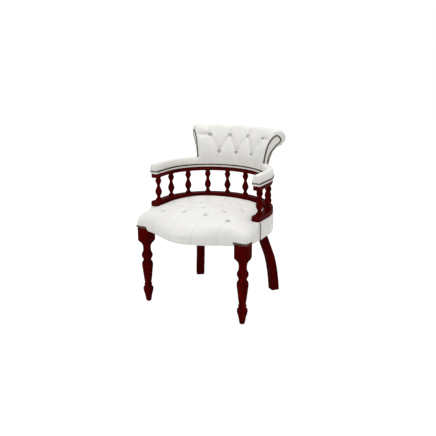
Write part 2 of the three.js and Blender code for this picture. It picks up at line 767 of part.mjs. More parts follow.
function upperRail() {
  const outer = UPPER_RAIL.inset + UPPER_RAIL.width;
  const top = upperRailZ + UPPER_RAIL.height;
  const section = easedRectangle(UPPER_RAIL.inset, outer, top, upperRailZ, UPPER_RAIL.edge);
  const rail = sweep(horseshoeArcs(ARM.frontY + UPPER_RAIL.endSetback), () => section);
  const roof = upperRailZ + SPINDLE.tenonLength;
  return cutAll(rail, spindleArcs().map((arc) => spindleSocket(arc, upperRailZ - OVERRUN, roof)));
}

// Arms

const boardTopZ = armZ + ARM.boardHeight;

function armBoard(grow) {
  const inner = ARM.wrap - grow;
  const outer = ARM.width - ARM.wrap + grow;
  const section = rectangle(inner, outer, armZ - grow, boardTopZ + grow);
  return sweep(horseshoeArcs(ARM.frontY + ARM.wrap - grow), () => section);
}

// Cross-section of an arm pad: upright walls, soft edges and a crowned top
const PAD_CROWN_SHARES = [[0, 0], [0.25, 0.62], [1, 1]];

function padSection(inset) {
  const wallTop = armZ + ARM.wallHeight;
  const middle = ARM.width / 2;
  const right = PAD_CROWN_SHARES.map(([x, z]) => [
    ARM.width - inset - x * (middle - inset),
    wallTop + z * ARM.crown - inset / 2,
  ]);
  const left = right.slice(0, -1).reverse().map(([x, z]) => [ARM.width - x, z]);
  return [[inset, armZ], [ARM.width - inset, armZ], ...right, ...left];
}

const PAD_CORNER_STEPS = 4;

function armPad(side) {
  const end = arcOfFront(ARM.frontY, 0);
  const start = BACK.halfArc + GAP;
  const corner = evenArcs(0, 1, PAD_CORNER_STEPS).map((share) => {
    const turn = (share * Math.PI) / 2;
    return {
      arc: end - ARM.cornerRadius * (1 - Math.sin(turn)),
      inset: ARM.cornerRadius * (1 - Math.cos(turn)) * (ARM.softEdge / ARM.cornerRadius),
    };
  });
  const body = arcsBetween(start, end - ARM.cornerRadius).slice(0, -1);
  const stations = [...body.map((arc) => ({ arc, inset: 0 })), ...corner];
  const pad = sweep(stations.map(({ arc }) => side * arc), (_, i) => padSection(stations[i].inset));
  return cutAll(pad, [armBoard(GAP)]);
}

// Tufting: how far a point of a surface is drawn in by buttons and by the pleats between them

function distanceToSegment(x, y, [ax, ay, bx, by]) {
  const [dx, dy] = [bx - ax, by - ay];
  const share = THREE.MathUtils.clamp(((x - ax) * dx + (y - ay) * dy) / (dx * dx + dy * dy), 0, 1);
  return Math.hypot(x - ax - share * dx, y - ay - share * dy);
}

function tuftDepth(x, y, tuft, buttons, pleats) {
  let depth = 0;
  for (const [bx, by] of buttons) {
    depth = Math.max(depth, tuft.depth * Math.exp(-(((x - bx) ** 2 + (y - by) ** 2) / tuft.radius ** 2)));
  }
  for (const pleat of pleats) {
    const away = distanceToSegment(x, y, pleat);
    depth = Math.max(depth, tuft.pleat * Math.exp(-((away / tuft.pleatWidth) ** 2)));
  }
  return depth;
}

// Pleats between every two buttons that are diagonal neighbours
function diamondPleats(buttons, reachX, reachY) {
  const pleats = [];
  buttons.forEach(([ax, ay], i) => {
    for (const [bx, by] of buttons.slice(i + 1)) {
      const near = Math.abs(ax - bx) < reachX && Math.abs(ay - by) < reachY;
      if (near && ay !== by) pleats.push([ax, ay, bx, by]);
    }
  });
  return pleats;
}

function domedButton(at, axis) {
  const rim = BUTTON.height * BUTTON.rimShare;
  const profile = [
    [-BUTTON.sink, 0], [-BUTTON.sink, BUTTON.radius], [rim, BUTTON.radius], [BUTTON.height, 0],
  ];
  return turned(profile, BUTTON.sides, at, axis);
}

// Back

const backFront = BACK_FRONT_SHARES.map(([g, h]) => [g * BACK.depth, armZ + h * BACK.height]);
const backRear = BACK_REAR_SHARES.map(([g, h]) => [
  ARM.width + g * (BACK.depth - ARM.width),
  armZ + h * BACK.height,
]);

// A line of the back moved sideways, with its foot kept at its level
function backLine(outline, distance) {
  const [[footG], ...rest] = shifted(outline, distance);
  return [[footG, outline[0][1]], ...rest];
}

// Running length along the front face, which the buttons are placed by
const frontRun = backFront.reduce((run, point, i) => {
  const before = backFront[Math.max(i - 1, 0)];
  const step = Math.hypot(point[0] - before[0], point[1] - before[1]);
  return [...run, (run[i - 1] ?? 0) + step];
}, []);

function frontRunAtHeight(share) {
  const z = armZ + share * BACK.height;
  const i = backFront.findIndex((point) => point[1] >= z);
  const part = (z - backFront[i - 1][1]) / (backFront[i][1] - backFront[i - 1][1]);
  return { i, part, run: frontRun[i - 1] + part * (frontRun[i] - frontRun[i - 1]) };
}

const backTopRow = frontRunAtHeight(BACK_TUFT.topShare);
const backLowRow = frontRunAtHeight(BACK_TUFT.lowShare);
const backButtons = [
  ...BACK_TOP_SHARES.map((column) => [column * BACK_TUFT.pitch, backTopRow.run]),
  ...BACK_LOW_SHARES.map((column) => [column * BACK_TUFT.pitch, backLowRow.run]),
];

function backPleats() {
  const rollOver = frontRun[frontRun.length - 1];
  const seam = frontRunAtHeight(ARM.nailRise / BACK.height).run;
  const upright = (column, from, to) => {
    const arc = column * BACK_TUFT.pitch;
    return [arc, from, arc, to];
  };
  const up = BACK_TOP_SHARES.map((column) => upright(column, backTopRow.run, rollOver));
  const down = BACK_LOW_SHARES.map((column) => upright(column, backLowRow.run, seam));
  const outerColumn = BACK_TOP_SHARES[BACK_TOP_SHARES.length - 1] * BACK_TUFT.pitch;
  const sideways = Object.values(SIDES).map((side) => [
    side * outerColumn, backTopRow.run, side * BACK.halfArc, backTopRow.run,
  ]);
  return [...diamondPleats(backButtons, BACK_TUFT.pitch, BACK.height), ...up, ...down, ...sideways];
}

// How far the ends of the back are rounded in, at a distance along the arc
function endRounding(arc) {
  const past = Math.max(0, Math.abs(arc) - (BACK.halfArc - BACK.endRoundArc)) / BACK.endRoundArc;
  return BACK.endRound * (1 - Math.sqrt(1 - Math.min(past, 1) ** 2));
}

// How much of the end rounding a point of the front line takes: none at the seam below and
// none where the roll meets the outer cover
function roundingShare(i) {
  const fromSeam = frontRun[i] / BACK.roundFade;
  const fromRoll = (frontRun[frontRun.length - 1] - frontRun[i]) / BACK.rollFade;
  return Math.min(1, fromSeam, fromRoll);
}

// Padding over the front, the roll and both ends, hollowed for the timber inside it
function backCushion() {
  const pleats = backPleats();
  const rear = backLine(backRear, BACK.cover + GAP).reverse();
  const cushion = sweep(backCushionArcs(), (arc) => {
    const rounding = endRounding(arc);
    const front = backFront.map((_, i) => {
      const tuft = tuftDepth(arc, frontRun[i], BACK_TUFT, backButtons, pleats);
      return backLine(backFront, -(rounding * roundingShare(i) + tuft))[i];
    });
    return [...front, ...rear];
  });
  const footRoom = rectangle(ARM.width / 2, ARM.width + OVERRUN, armZ - OVERRUN, boardTopZ + 2 * GAP);
  const coverFoot = sweep(arcsBetween(-BACK.halfArc - OVERRUN, BACK.halfArc + OVERRUN), () => footRoom);
  const hollow = cutAll(cushion, [backShell(GAP), scrollRail(GAP), armBoard(GAP), coverFoot]);
  return joinAll(hollow, backButtons.map(([arc, run]) => backButton(arc, run)));
}

// Arcs of the back's stations: even ones, with extra ones where the ends round in
function backCushionArcs() {
  const inner = BACK.halfArc - BACK.endRoundArc;
  const turn = [0.5, 0.85, 1].map((share) => inner + share * BACK.endRoundArc);
  return [...turn.map((arc) => -arc).reverse(), ...arcsBetween(-inner, inner), ...turn];
}

function backButton(arc, run) {
  const i = frontRun.findIndex((value) => value >= run);
  const part = (run - frontRun[i - 1]) / (frontRun[i] - frontRun[i - 1]);
  const [g, z] = [0, 1].map((k) => backFront[i - 1][k] + part * (backFront[i][k] - backFront[i - 1][k]));
  const slope = new THREE.Vector2(
    backFront[i][0] - backFront[i - 1][0],
    backFront[i][1] - backFront[i - 1][1],
  ).normalize();
  const place = planPlace(arc, 0);
  const inward = new THREE.Vector3(-place.normal.x * slope.y, -place.normal.y * slope.y, slope.x);
  const at = pointOut(place, g, z).addScaledVector(inward, -BACK_TUFT.depth);
  return domedButton(at, inward);
}

function backCover() {
  const above = boardTopZ + GAP;
  const foot = ARM.width - ARM.wrap + GAP;
  const lining = backLine(backRear, BACK.cover);
  const inside = [crossing(lining, above), ...lining.filter((point) => point[1] > above)];
  const section = [...backRear, ...inside.reverse(), [foot, above], [foot, armZ]];
  return sweep(arcsBetween(-BACK.halfArc, BACK.halfArc), () => section);
}

// Timber inside the back, between its padding and its outer cover, in two pieces
const splitZ = armZ + BACK.shellSplitShare * BACK.height;
const timberArc = BACK.halfArc - BACK.padding;

function crossing(outline, z) {
  const i = outline.findIndex((point, k) => k > 0 && point[1] >= z);
  const part = (z - outline[i - 1][1]) / (outline[i][1] - outline[i - 1][1]);
  return [outline[i - 1][0] + part * (outline[i][0] - outline[i - 1][0]), z];
}

// The part of the timber between two levels. `topZ` null takes it up and over the roll.
function backTimber(lowZ, topZ, grow) {
  const front = backLine(backFront, -(BACK.padding + GAP - grow));
  const rear = backLine(backRear, BACK.cover + GAP - grow);
  const sides = [front, rear].map((line) => {
    const start = line.findIndex((point) => point[1] > lowZ);
    const end = topZ === null ? line.length : line.findIndex((point) => point[1] >= topZ);
    const cap = topZ === null ? [] : [crossing(line, topZ)];
    return [crossing(line, lowZ), ...line.slice(start, end), ...cap];
  });
  const section = [...sides[0], ...sides[1].reverse()];
  const reach = timberArc + grow;
  return sweep(arcsBetween(-reach, reach), () => section);
}

function backShell(grow) {
  return backTimber(boardTopZ + GAP - grow, splitZ + grow, grow);
}

function scrollRail(grow) {
  return backTimber(splitZ + GAP - grow, null, grow);
}

// Flat things on the end of the back: outline points [outset, z] set `out` beyond the end plane

function endFrame(side) {
  const place = planPlace(side * BACK.halfArc, 0);
  const outward = new THREE.Vector3(place.normal.x, place.normal.y, 0);
  const beyond = new THREE.Vector3(side * place.normal.y, -side * place.normal.x, 0);
  return { base: new THREE.Vector3(place.x, place.y, 0), outward, beyond };
}

function endPlate(side, outline, from, thickness) {
  const { base, outward, beyond } = endFrame(side);
  const rings = [from, from + thickness].map((out) => outline.map(([g, z]) => (
    base.clone().addScaledVector(outward, g).addScaledVector(beyond, out).setZ(z)
  )));
  return loft(rings, () => outline.map(([g, z]) => new THREE.Vector2(g, z)));
}

const armTopZ = armZ + ARM.wallHeight + ARM.crown;
const facingOutline = FACING_SHARES.map(([g, h]) => [
  g * BACK.depth,
  armTopZ + h * (armZ + BACK.height - armTopZ),
]);

function backFacing(side) {
  return endPlate(side, facingOutline, GAP, FACING.thickness);
}

// Rows of nails: a beaded strip with a rounded crest, carried along a line on the leather

function nailStrip(points, normals) {
  const half = NAIL.width / 2;
  const crest = half * NAIL.crestShare;
  const section = [[-half, 0], [-crest, NAIL.height], [crest, NAIL.height], [half, 0]];
  const rings = points.map((point, i) => {
    const before = points[Math.max(i - 1, 0)];
    const after = points[Math.min(i + 1, points.length - 1)];
    const run = after.clone().sub(before).normalize();
    const across = new THREE.Vector3().crossVectors(run, normals[i]).normalize();
    const base = point.clone().addScaledVector(normals[i], TRIM_GAP);
    return section.map(([a, b]) => base.clone().addScaledVector(across, a).addScaledVector(normals[i], b));
  });
  return loft(rings, () => section.map(([a, b]) => new THREE.Vector2(a, b)));
}

const nailZ = armZ + ARM.nailRise;

function planNormal(place, sign) {
  return new THREE.Vector3(sign * place.normal.x, sign * place.normal.y, 0);
}

function innerNailStrip() {
  const places = horseshoeArcs(ARM.frontY + ARM.cornerRadius).map((arc) => planPlace(arc, 0));
  return nailStrip(
    places.map((place) => pointOut(place, 0, nailZ)),
    places.map((place) => planNormal(place, -1)),
  );
}

function outerNailStrip() {
  const places = horseshoeArcs(ARM.frontY + ARM.cornerRadius).map((arc) => planPlace(arc, 0));
  return nailStrip(
    places.map((place) => pointOut(place, ARM.width + GAP, nailZ)),
    places.map((place) => planNormal(place, 1)),
  );
}

function facingNailStrip(side) {
  const { base, outward, beyond } = endFrame(side);
  const points = facingOutline.map(([g, z]) => (
    base.clone().addScaledVector(outward, g).addScaledVector(beyond, GAP + FACING.thickness).setZ(z)
  ));
  return nailStrip(points, points.map(() => beyond));
}

function sideNailStrip(side) {
  const x = side * (PLAN.halfWidth + SEAT.bandOutset);
  const y = PLAN.galleryEndY + NAIL.width;
  const heights = evenArcs(hemZ + NAIL.width / 2, galleryZ - NAIL.width / 2, 2);
  const normal = new THREE.Vector3(side, 0, 0);
  return nailStrip(heights.map((z) => new THREE.Vector3(x, y, z)), heights.map(() => normal));
}

// Nails over a front leg: along the front, round the corner and along the side
function legNailStrip(side) {
  const stand = SEAT.sideBulge * LEG_NAILS.bulgeShare;
  const corner = { x: seatSideX - SEAT.cornerRadius, y: seatCornerY + SEAT.cornerRadius };
  const path = [[corner.x - LEG_NAILS.frontLength, seatCornerY - stand, 0, -1]];
  for (const share of [0, 0.5, 1]) {
    const turn = (share * Math.PI) / 2;
    const [nx, ny] = [Math.sin(turn), -Math.cos(turn)];
    const reach = SEAT.cornerRadius + stand;
    path.push([corner.x + nx * reach, corner.y + ny * reach, nx, ny]);
  }
  path.push([seatSideX + stand, corner.y + LEG_NAILS.sideLength, 1, 0]);
  const points = path.map(([x, y]) => new THREE.Vector3(side * x, y, legNailZ));
  const normals = path.map(([, , nx, ny]) => new THREE.Vector3(side * nx, ny, 0));
  return nailStrip(points, normals);
}

// Seat

// Hem of the seat cushion, right half from the front centre to the back centre:
// plan point, outward direction, bulge and hem height
function seatHalfOutline() {
  const places = evenArcs(0, BOW.flatX, 8).map((x) => {
    const middle = Math.cos((Math.PI / 2) * (x / seatSideX)) ** 2;
    const bulge = SEAT.sideBulge + (SEAT.frontBulge - SEAT.sideBulge) * middle;
    return { x, y: bowY(x), bulge, hem: hemZ, out: [0, -1] };
  });
  const low = cornerHemZ;
  const round = SEAT.cornerRadius;
  const bulge = SEAT.sideBulge;
  places.push({ x: frontLegX - legBlockHalf, y: seatCornerY, bulge, hem: low, out: [0, -1] });
  for (const share of [0, 0.5, 1]) {
    const turn = (share * Math.PI) / 2;
    const out = [Math.sin(turn), -Math.cos(turn)];
    const x = seatSideX - round * (1 - out[0]);
    const y = seatCornerY + round * (1 + out[1]);
    places.push({ x, y, bulge, hem: low, out });
  }
  const legEnd = FRONT_LEG.y + legBlockHalf;
  places.push({ x: seatSideX, y: legEnd, bulge, hem: low, out: [1, 0] });
  const wide = PLAN.halfWidth + SEAT.bandOutset;
  places.push({ x: wide, y: PLAN.galleryEndY, bulge: 0, hem: hemZ, out: [1, 0] });
  for (const arc of evenArcs(curveLength(0), 0, 5)) {
    const place = planPlace(arc, 0);
    const point = pointOut(place, SEAT.bandOutset, 0);
    const out = [place.normal.x, place.normal.y];
    places.push({ x: point.x, y: point.y, bulge: 0, hem: hemZ, out });
  }
  return places;
}

function seatOutline() {
  const half = seatHalfOutline();
  const mirrored = half.slice(1, -1).reverse().map((place) => ({
    ...place, x: -place.x, out: [-place.out[0], place.out[1]],
  }));
  return [...half, ...mirrored];
}

const seatButtons = SEAT_BUTTON_SHARES.flatMap((row, r) => (
  row.map((column) => [column * SEAT_TUFT.pitchX, SEAT_TUFT.firstY + r * SEAT_TUFT.pitchY])
));

function seatPleats() {
  const toHem = SEAT_BUTTON_SHARES[0].map((column) => {
    const x = column * SEAT_TUFT.pitchX;
    return [x, SEAT_TUFT.firstY, x, BOW.frontY - SEAT.frontBulge];
  });
  return [...diamondPleats(seatButtons, SEAT_TUFT.pitchX, 1.5 * SEAT_TUFT.pitchY), ...toHem];
}

// How far out a place on the seat lies: 0 in the middle and 1 at the gallery or the front edge
function seatReach(x, y) {
  const front = SEAT.centreY - bowY(x) + SEAT.frontBulge;
  const depth = y < SEAT.centreY ? front : PLAN.centreY + PLAN.backDepth - SEAT.centreY;
  return Math.hypot(x / SEAT.crownHalfWidth, (y - SEAT.centreY) / depth);
}

function crownHeight(x, y) {
  const reach = Math.min(1, seatReach(x, y));
  return seatEdgeZ + (seatCrownZ - seatEdgeZ) * (1 - reach ** CROWN_POWER);
}

// Sides and shoulder of the seat, carried upright past the crown
function seatSides() {
  const outline = seatOutline();
  const rings = SEAT_SIDE_SHARES.map(([height, bulge, inward]) => outline.map((place) => {
    const z = place.hem + height * (seatEdgeZ - place.hem);
    const out = bulge * place.bulge;
    const point = new THREE.Vector3(place.x + place.out[0] * out, place.y + place.out[1] * out, z);
    const toMiddle = new THREE.Vector3(-place.x, SEAT.centreY - place.y, 0).normalize();
    return point.addScaledVector(toMiddle, inward * SEAT_SHOULDER);
  }));
  rings.push(rings[rings.length - 1].map((point) => point.clone().setZ(seatCrownZ + OVERRUN)));
  return loft(rings, (r) => rings[r === 0 ? 0 : rings.length - 1].map((p) => new THREE.Vector2(p.x, p.y)));
}

// Crowned and buttoned top as a block over a grid whose lines pass through the buttons
function seatTopBlock() {
  const pleats = seatPleats();
  const stepX = SEAT_TUFT.pitchX / SEAT_COLUMNS_PER_PITCH;
  const stepY = SEAT_TUFT.pitchY / SEAT_ROWS_PER_PITCH;
  const columns = Math.ceil((PLAN.halfWidth + SEAT.bandOutset) / stepX);
  const before = Math.ceil((SEAT_TUFT.firstY - BOW.frontY + SEAT.frontBulge) / stepY);
  const after = Math.ceil((PLAN.centreY + PLAN.backDepth + SEAT.bandOutset - SEAT_TUFT.firstY) / stepY);
  const rings = evenArcs(-before, after, before + after).map((row) => {
    const y = SEAT_TUFT.firstY + row * stepY;
    const top = evenArcs(-columns, columns, 2 * columns).map((column) => {
      const x = column * stepX;
      const z = crownHeight(x, y) - tuftDepth(x, y, SEAT_TUFT, seatButtons, pleats);
      return new THREE.Vector3(x, y, z);
    });
    const floor = hemZ - OVERRUN;
    const ends = [columns, -columns].map((column) => new THREE.Vector3(column * stepX, y, floor));
    return [...top, ...ends];
  });
  return loft(rings, (r) => rings[r].map((point) => new THREE.Vector2(point.x, point.z)));
}

// Everything under and beside the gallery, which the seat cushion leaves free
function galleryRoom() {
  const section = [
    [-GAP, galleryZ - GAP], [-GAP, galleryTopZ + OVERRUN], [OVERRUN * 2, galleryTopZ + OVERRUN],
    [OVERRUN * 2, hemZ - OVERRUN], [SEAT_FRAME.outset, hemZ - OVERRUN],
    [SEAT_FRAME.outset, frameTopZ], [packingInner - GAP, frameTopZ],
    [packingInner - GAP, galleryZ - GAP],
  ];
  return sweep(horseshoeArcs(PLAN.galleryEndY - GAP), () => section);
}

function seatCushion() {
  const floor = hemZ - OVERRUN;
  const frameRoom = prism(frameOutline(GAP), floor, frameTopZ + GAP);
  const strapRooms = straps.flatMap((index) => [strapAcross(index, GAP), strapAlong(index, GAP)]);
  const form = toGeometry(toSolid(seatSides()).intersect(toSolid(seatTopBlock())));
  const cushion = cutAll(form, [frameRoom, ...strapRooms, galleryRoom()]);
  const domes = seatButtons.map(([x, y]) => (
    domedButton(new THREE.Vector3(x, y, crownHeight(x, y) - SEAT_TUFT.depth), UP)
  ));
  return joinAll(cushion, domes);
}

function seatBand() {
  const inner = SEAT_FRAME.outset + GAP;
  const section = rectangle(inner, SEAT.bandOutset, hemZ, galleryZ - GAP);
  return sweep(horseshoeArcs(PLAN.galleryEndY), () => section);
}

// The assembly

for (const [name, side] of Object.entries(SIDES)) {
  addPiece(`front_leg_${name}`, frontLeg(side), wood);
  const legHoles = Object.values(LEG_BOLT_SHARES).map((share) => legBolt(side, share, GAP));
  addPiece(`rear_leg_${name}`, cutAll(rearLegBlank(side, 0), legHoles), wood);
  addPiece(`seat_rail_${name}`, sideRail(side), beech);
  addPiece(`corner_block_front_${name}`, frontCornerBlock(side), beech);
  addPiece(`corner_block_rear_${name}`, rearCornerBlock(side), beech);
  for (const [place, share] of Object.entries(LEG_BOLT_SHARES)) {
    addPiece(`rear_leg_bolt_${name}_${place}`, legBolt(side, share, 0), steel);
  }
  galleryBoltArcs.forEach((arc, i) => {
    addPiece(`gallery_bolt_${name}_${i + 1}`, galleryBolt(side * arc, 0), steel);
  });
  addPiece(`arm_pad_${name}`, armPad(side), leather);
  addPiece(`back_facing_${name}`, backFacing(side), leather);
  addPiece(`nails_facing_${name}`, facingNailStrip(side), nails);
  addPiece(`nails_side_${name}`, sideNailStrip(side), nails);
  addPiece(`nails_leg_${name}`, legNailStrip(side), nails);
}
addPiece('seat_rail_front', frontRail(), beech);
addPiece('seat_rail_back', backRail(), beech);
for (const index of straps) {
  addPiece(`webbing_across_${index + 1}`, strapAcross(index, 0), jute);
  addPiece(`webbing_along_${index + 1}`, strapAlong(index, 0), jute);
}
addPiece('dust_cover', dustCover(), black);
addPiece('packing_rail', packingRail(), beech);
addPiece('gallery_lower_rail', lowerRail(), wood);
spindleArcs().forEach((arc, i) => addPiece(`spindle_${String(i + 1).padStart(2, '0')}`, spindle(arc), wood));
addPiece('gallery_upper_rail', upperRail(), wood);
addPiece('arm_board', armBoard(0), beech);
addPiece('nails_inner_line', innerNailStrip(), nails);
addPiece('nails_outer_line', outerNailStrip(), nails);
addPiece('back_shell', backShell(0), beech);
addPiece('scroll_rail', scrollRail(0), beech);
addPiece('back_cushion', backCushion(), leather);
addPiece('back_outer_cover', backCover(), leather);
addPiece('seat_cushion', seatCushion(), leather);
addPiece('seat_side_band', seatBand(), leather);

// Origin on the floor under the middle of the outer box
const outerBox = new THREE.Box3().setFromObject(chair);
const middle = outerBox.getCenter(new THREE.Vector3());
chair.position.set(-middle.x, -middle.y, -outerBox.min.z);
chair.updateMatrixWorld(true);

export default chair;
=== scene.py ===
"""Captains chair: the visible surfaces over the chair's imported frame.

Lengths are millimetres in the row frame until they reach a mesh, which is in metres.
The plan of the gallery is two straight sides joined by half an ellipse. A place on it is
its arc, the distance from the back centre, positive towards +X. In names, left and right are
as seen from the front, so right is +X.
"""

import math
from types import SimpleNamespace

import bmesh
import bpy
import numpy as np
from bpy.props import FloatProperty, FloatVectorProperty, PointerProperty
from mathutils import Matrix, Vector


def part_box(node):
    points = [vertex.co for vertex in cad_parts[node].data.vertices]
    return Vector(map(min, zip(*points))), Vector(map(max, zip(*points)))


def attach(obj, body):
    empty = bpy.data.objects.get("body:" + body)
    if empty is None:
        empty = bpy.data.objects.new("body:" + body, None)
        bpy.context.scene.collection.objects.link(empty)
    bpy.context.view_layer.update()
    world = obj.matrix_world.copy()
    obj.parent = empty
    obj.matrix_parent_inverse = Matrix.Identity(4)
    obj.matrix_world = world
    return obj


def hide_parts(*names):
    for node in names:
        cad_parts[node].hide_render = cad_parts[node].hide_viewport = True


bl_info = {
    "name": "Captains chair",
    "version": (1, 0, 0),
    "blender": (4, 5, 0),
    "location": "View3D > Sidebar > Chair",
    "description": "Builds the visible surfaces of a buttoned captains chair over its frame",
    "category": "Object",
}

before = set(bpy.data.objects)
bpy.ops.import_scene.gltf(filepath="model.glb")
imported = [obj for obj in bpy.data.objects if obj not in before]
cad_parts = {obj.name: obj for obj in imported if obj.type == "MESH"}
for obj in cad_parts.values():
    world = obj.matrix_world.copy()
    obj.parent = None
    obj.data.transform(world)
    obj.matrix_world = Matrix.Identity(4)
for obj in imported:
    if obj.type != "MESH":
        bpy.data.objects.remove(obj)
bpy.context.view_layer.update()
MM = 0.001
SIDES = {"left": -1, "right": 1}


# Sizes that everything else follows

def middle_of(node, axis):
    """Middle of a frame node along one axis, in mm."""
    low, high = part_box(node)
    return (low[axis] + high[axis]) / 2 / MM


LEG_X = middle_of("front_leg_right", 0)
LEG_Y = middle_of("front_leg_right", 1)
LEG_BLOCK = 60.0
HALF_WIDTH = 251.0
BACK_DEPTH = 230.0
CENTRE_Y = LEG_Y + 183.4
GALLERY_END_Y = CENTRE_Y - 93.0
ARM_END_Y = CENTRE_Y - 94.0
BOW_FRONT_Y = CENTRE_Y - 302.0
SEAT_SIDE_X = LEG_X + LEG_BLOCK / 2 + 2.6
SEAT_CORNER_Y = LEG_Y - LEG_BLOCK / 2 - 2.6
HEM_Z = 372.0
CORNER_HEM_Z = 382.0
RAIL_Z = 456.0
RAIL_TOP_Z = 481.0
RAIL_WIDTH = 40.0
RAIL_MIDDLE = RAIL_WIDTH / 2
UPPER_RAIL_Z = 595.6
ARM_Z = 616.9
ARM_WIDTH = 38.5
NAIL_Z = ARM_Z + 11.0


# The plan curve, read from a table of the ellipse's arc lengths

PLAN_TURNS = np.linspace(math.pi / 2, 0, 721)
PLAN_ARCS = np.concatenate([[0], np.cumsum(np.hypot(
    np.diff(HALF_WIDTH * np.cos(PLAN_TURNS)), np.diff(BACK_DEPTH * np.sin(PLAN_TURNS))))])
CURVE = PLAN_ARCS[-1]


def plan(arc):
    """Place on the plan curve and its outward normal, for arcs of any shape.

    The ellipse is read from a table of its arc lengths; past it the sides run straight."""
    arc = np.asarray(arc, float)
    side = np.where(arc < 0, -1.0, 1.0)
    run = np.abs(arc)
    turn = np.interp(run, PLAN_ARCS, PLAN_TURNS)
    nx, ny = np.cos(turn) / HALF_WIDTH, np.sin(turn) / BACK_DEPTH
    size = np.hypot(nx, ny)
    x = HALF_WIDTH * np.cos(turn)
    y = CENTRE_Y + BACK_DEPTH * np.sin(turn) - np.maximum(run - CURVE, 0)
    return side * x, y, side * nx / size, ny / size


def carry(arc, out, z):
    """Points at a distance `out` outside the plan, at height z."""
    x, y, nx, ny = plan(arc)
    return np.stack(np.broadcast_arrays(x + nx * out, y + ny * out, z), axis=-1)


def arc_on_line(run, out):
    """Arc of the place that lies `run` along the line `out` outside the plan.

    On the ellipse that line is longer than the plan by `out` times the turn of the normal."""
    nx, ny = np.cos(PLAN_TURNS) / HALF_WIDTH, np.sin(PLAN_TURNS) / BACK_DEPTH
    runs = PLAN_ARCS + out * np.arctan2(nx, ny)
    inner = np.interp(abs(run), runs, PLAN_ARCS)
    return math.copysign(inner + max(abs(run) - runs[-1], 0), run)


def arc_at(end_y):
    """Arc at which the straight sides reach a y."""
    return CURVE + CENTRE_Y - end_y


# Lines

def run_of(points):
    """Running length along a row of points."""
    steps = np.linalg.norm(np.diff(points, axis=0), axis=1)
    return np.concatenate([[0], np.cumsum(steps)])


def read_line(at, run, line):
    """Places on a line at some of its running lengths."""
    return np.stack([np.interp(at, run, line[:, k]) for k in range(line.shape[1])], axis=-1)


def curve(points, count):
    """`count` places evenly spaced along a Catmull-Rom curve through the points."""
    p = np.asarray(points, float)
    p = np.vstack([2 * p[0] - p[1], p, 2 * p[-1] - p[-2]])
    t = np.linspace(0, len(p) - 3, 24 * len(p) + 1)
    k = np.minimum(t.astype(int), len(p) - 4)
    f = (t - k)[:, None]
    a, b, c, d = p[k], p[k + 1], p[k + 2], p[k + 3]
    q = b + 0.5 * f * ((c - a) + f * ((2 * a - 5 * b + 4 * c - d) + f * (3 * b - a - 3 * c + d)))
    run = run_of(q)
    return read_line(np.linspace(0, run[-1], count), run, q)


def normals_of(line):
    """Unit normals of an (out, z) line, to the left of its way."""
    ahead = np.gradient(line, axis=0)
    normal = np.stack([-ahead[:, 1], ahead[:, 0]], 1)
    return normal / np.linalg.norm(normal, axis=1)[:, None]


def densify(section, step):
    """Closed outline with extra points along its long sides."""
    closed = np.vstack([section, section[:1]])
    run = run_of(closed)
    keep = np.unique(np.concatenate([run[:-1], np.arange(0, run[-1], step)]))
    keep = keep[np.concatenate([[True], np.diff(keep) > 0.15])]
    return read_line(keep, run, closed)


def rounded_box(low, high, radii, steps=5):
    """Closed (out, z) section of a box with its own radius at each corner, from the low inner one."""
    corners = [(low[0], low[1], 180, 1, 1), (high[0], low[1], 270, -1, 1),
               (high[0], high[1], 0, -1, -1), (low[0], high[1], 90, 1, -1)]
    parts = []
    for (x, z, start, sx, sz), r in zip(corners, radii):
        turn = np.radians(start + np.linspace(0, 90, steps))
        parts.append(np.stack([x + sx * r + r * np.cos(turn), z + sz * r + r * np.sin(turn)], 1))
    return np.vstack(parts)


def blend_step(x, low, high):
    """0 below low, 1 above high, and a smooth step between them."""
    t = np.clip((x - low) / (high - low), 0, 1)
    return t * t * (3 - 2 * t)


def both_ends(end, middle):
    """Row values that are the same at both ends, round those of the middle."""
    return np.concatenate([end, middle, end[::-1]])


def full_turn(count):
    """Directions evenly spaced round a circle."""
    return np.linspace(0, 2 * math.pi, count, endpoint=False)


def rings(x, y, reach, z, turn):
    """Points round a middle line, row by row, at a reach in each direction."""
    return np.stack(np.broadcast_arrays(x + reach * np.cos(turn), y + reach * np.sin(turn), z), 2)


# Meshes

SHARP_ANGLE = math.radians(40)
END_TURNS = np.radians([0, 20, 42, 65])


def grid_faces(rows, columns):
    """Faces of a grid whose last column meets its first, and each corner's (row, column)."""
    i, j = (a.ravel() for a in np.meshgrid(np.arange(rows - 1), np.arange(columns), indexing="ij"))
    k = (j + 1) % columns
    low, high = i * columns, (i + 1) * columns
    places = np.stack([i, j, i, j + 1, i + 1, j + 1, i + 1, j], 1)
    return np.stack([low + j, low + k, high + k, high + j], 1), places


def skin(name, points, pairs=False, uv=None):
    """Closed mesh over a grid of points in mm, rows by columns, the last column joined to the first.

    The first and the last row are closed with a fan to the row's middle or, with `pairs`,
    between columns that mirror each other. `uv` is (along, across) in mm, across with one
    value more than the columns."""
    rows, columns = points.shape[:2]
    verts = points.reshape(-1, 3)
    faces, places = grid_faces(rows, columns)
    faces, places = [faces], [places.reshape(-1, 2)]
    for end in (0, rows - 1):
        if pairs:
            m = np.arange(columns // 2 - 1)
            corners = [m, m + 1, columns - 2 - m, columns - 1 - m]
            faces.append(end * columns + np.stack(corners, 1))
        else:
            m = np.arange(columns)
            corners = [m, m, m + 1]
            hub = np.full(columns, len(verts))
            verts = np.vstack([verts, points[end].mean(axis=0)])
            faces.append(np.stack([hub, end * columns + m, end * columns + (m + 1) % columns], 1))
        across = np.stack(corners, 1).ravel()
        places.append(np.stack([np.full(len(across), end), across], 1))
    surface = None
    if uv:
        places = np.concatenate(places)
        surface = np.stack([np.asarray(values)[places[:, k]] * MM for k, values in enumerate(uv)], 1)
    return mesh_piece(name, verts, faces, surface)


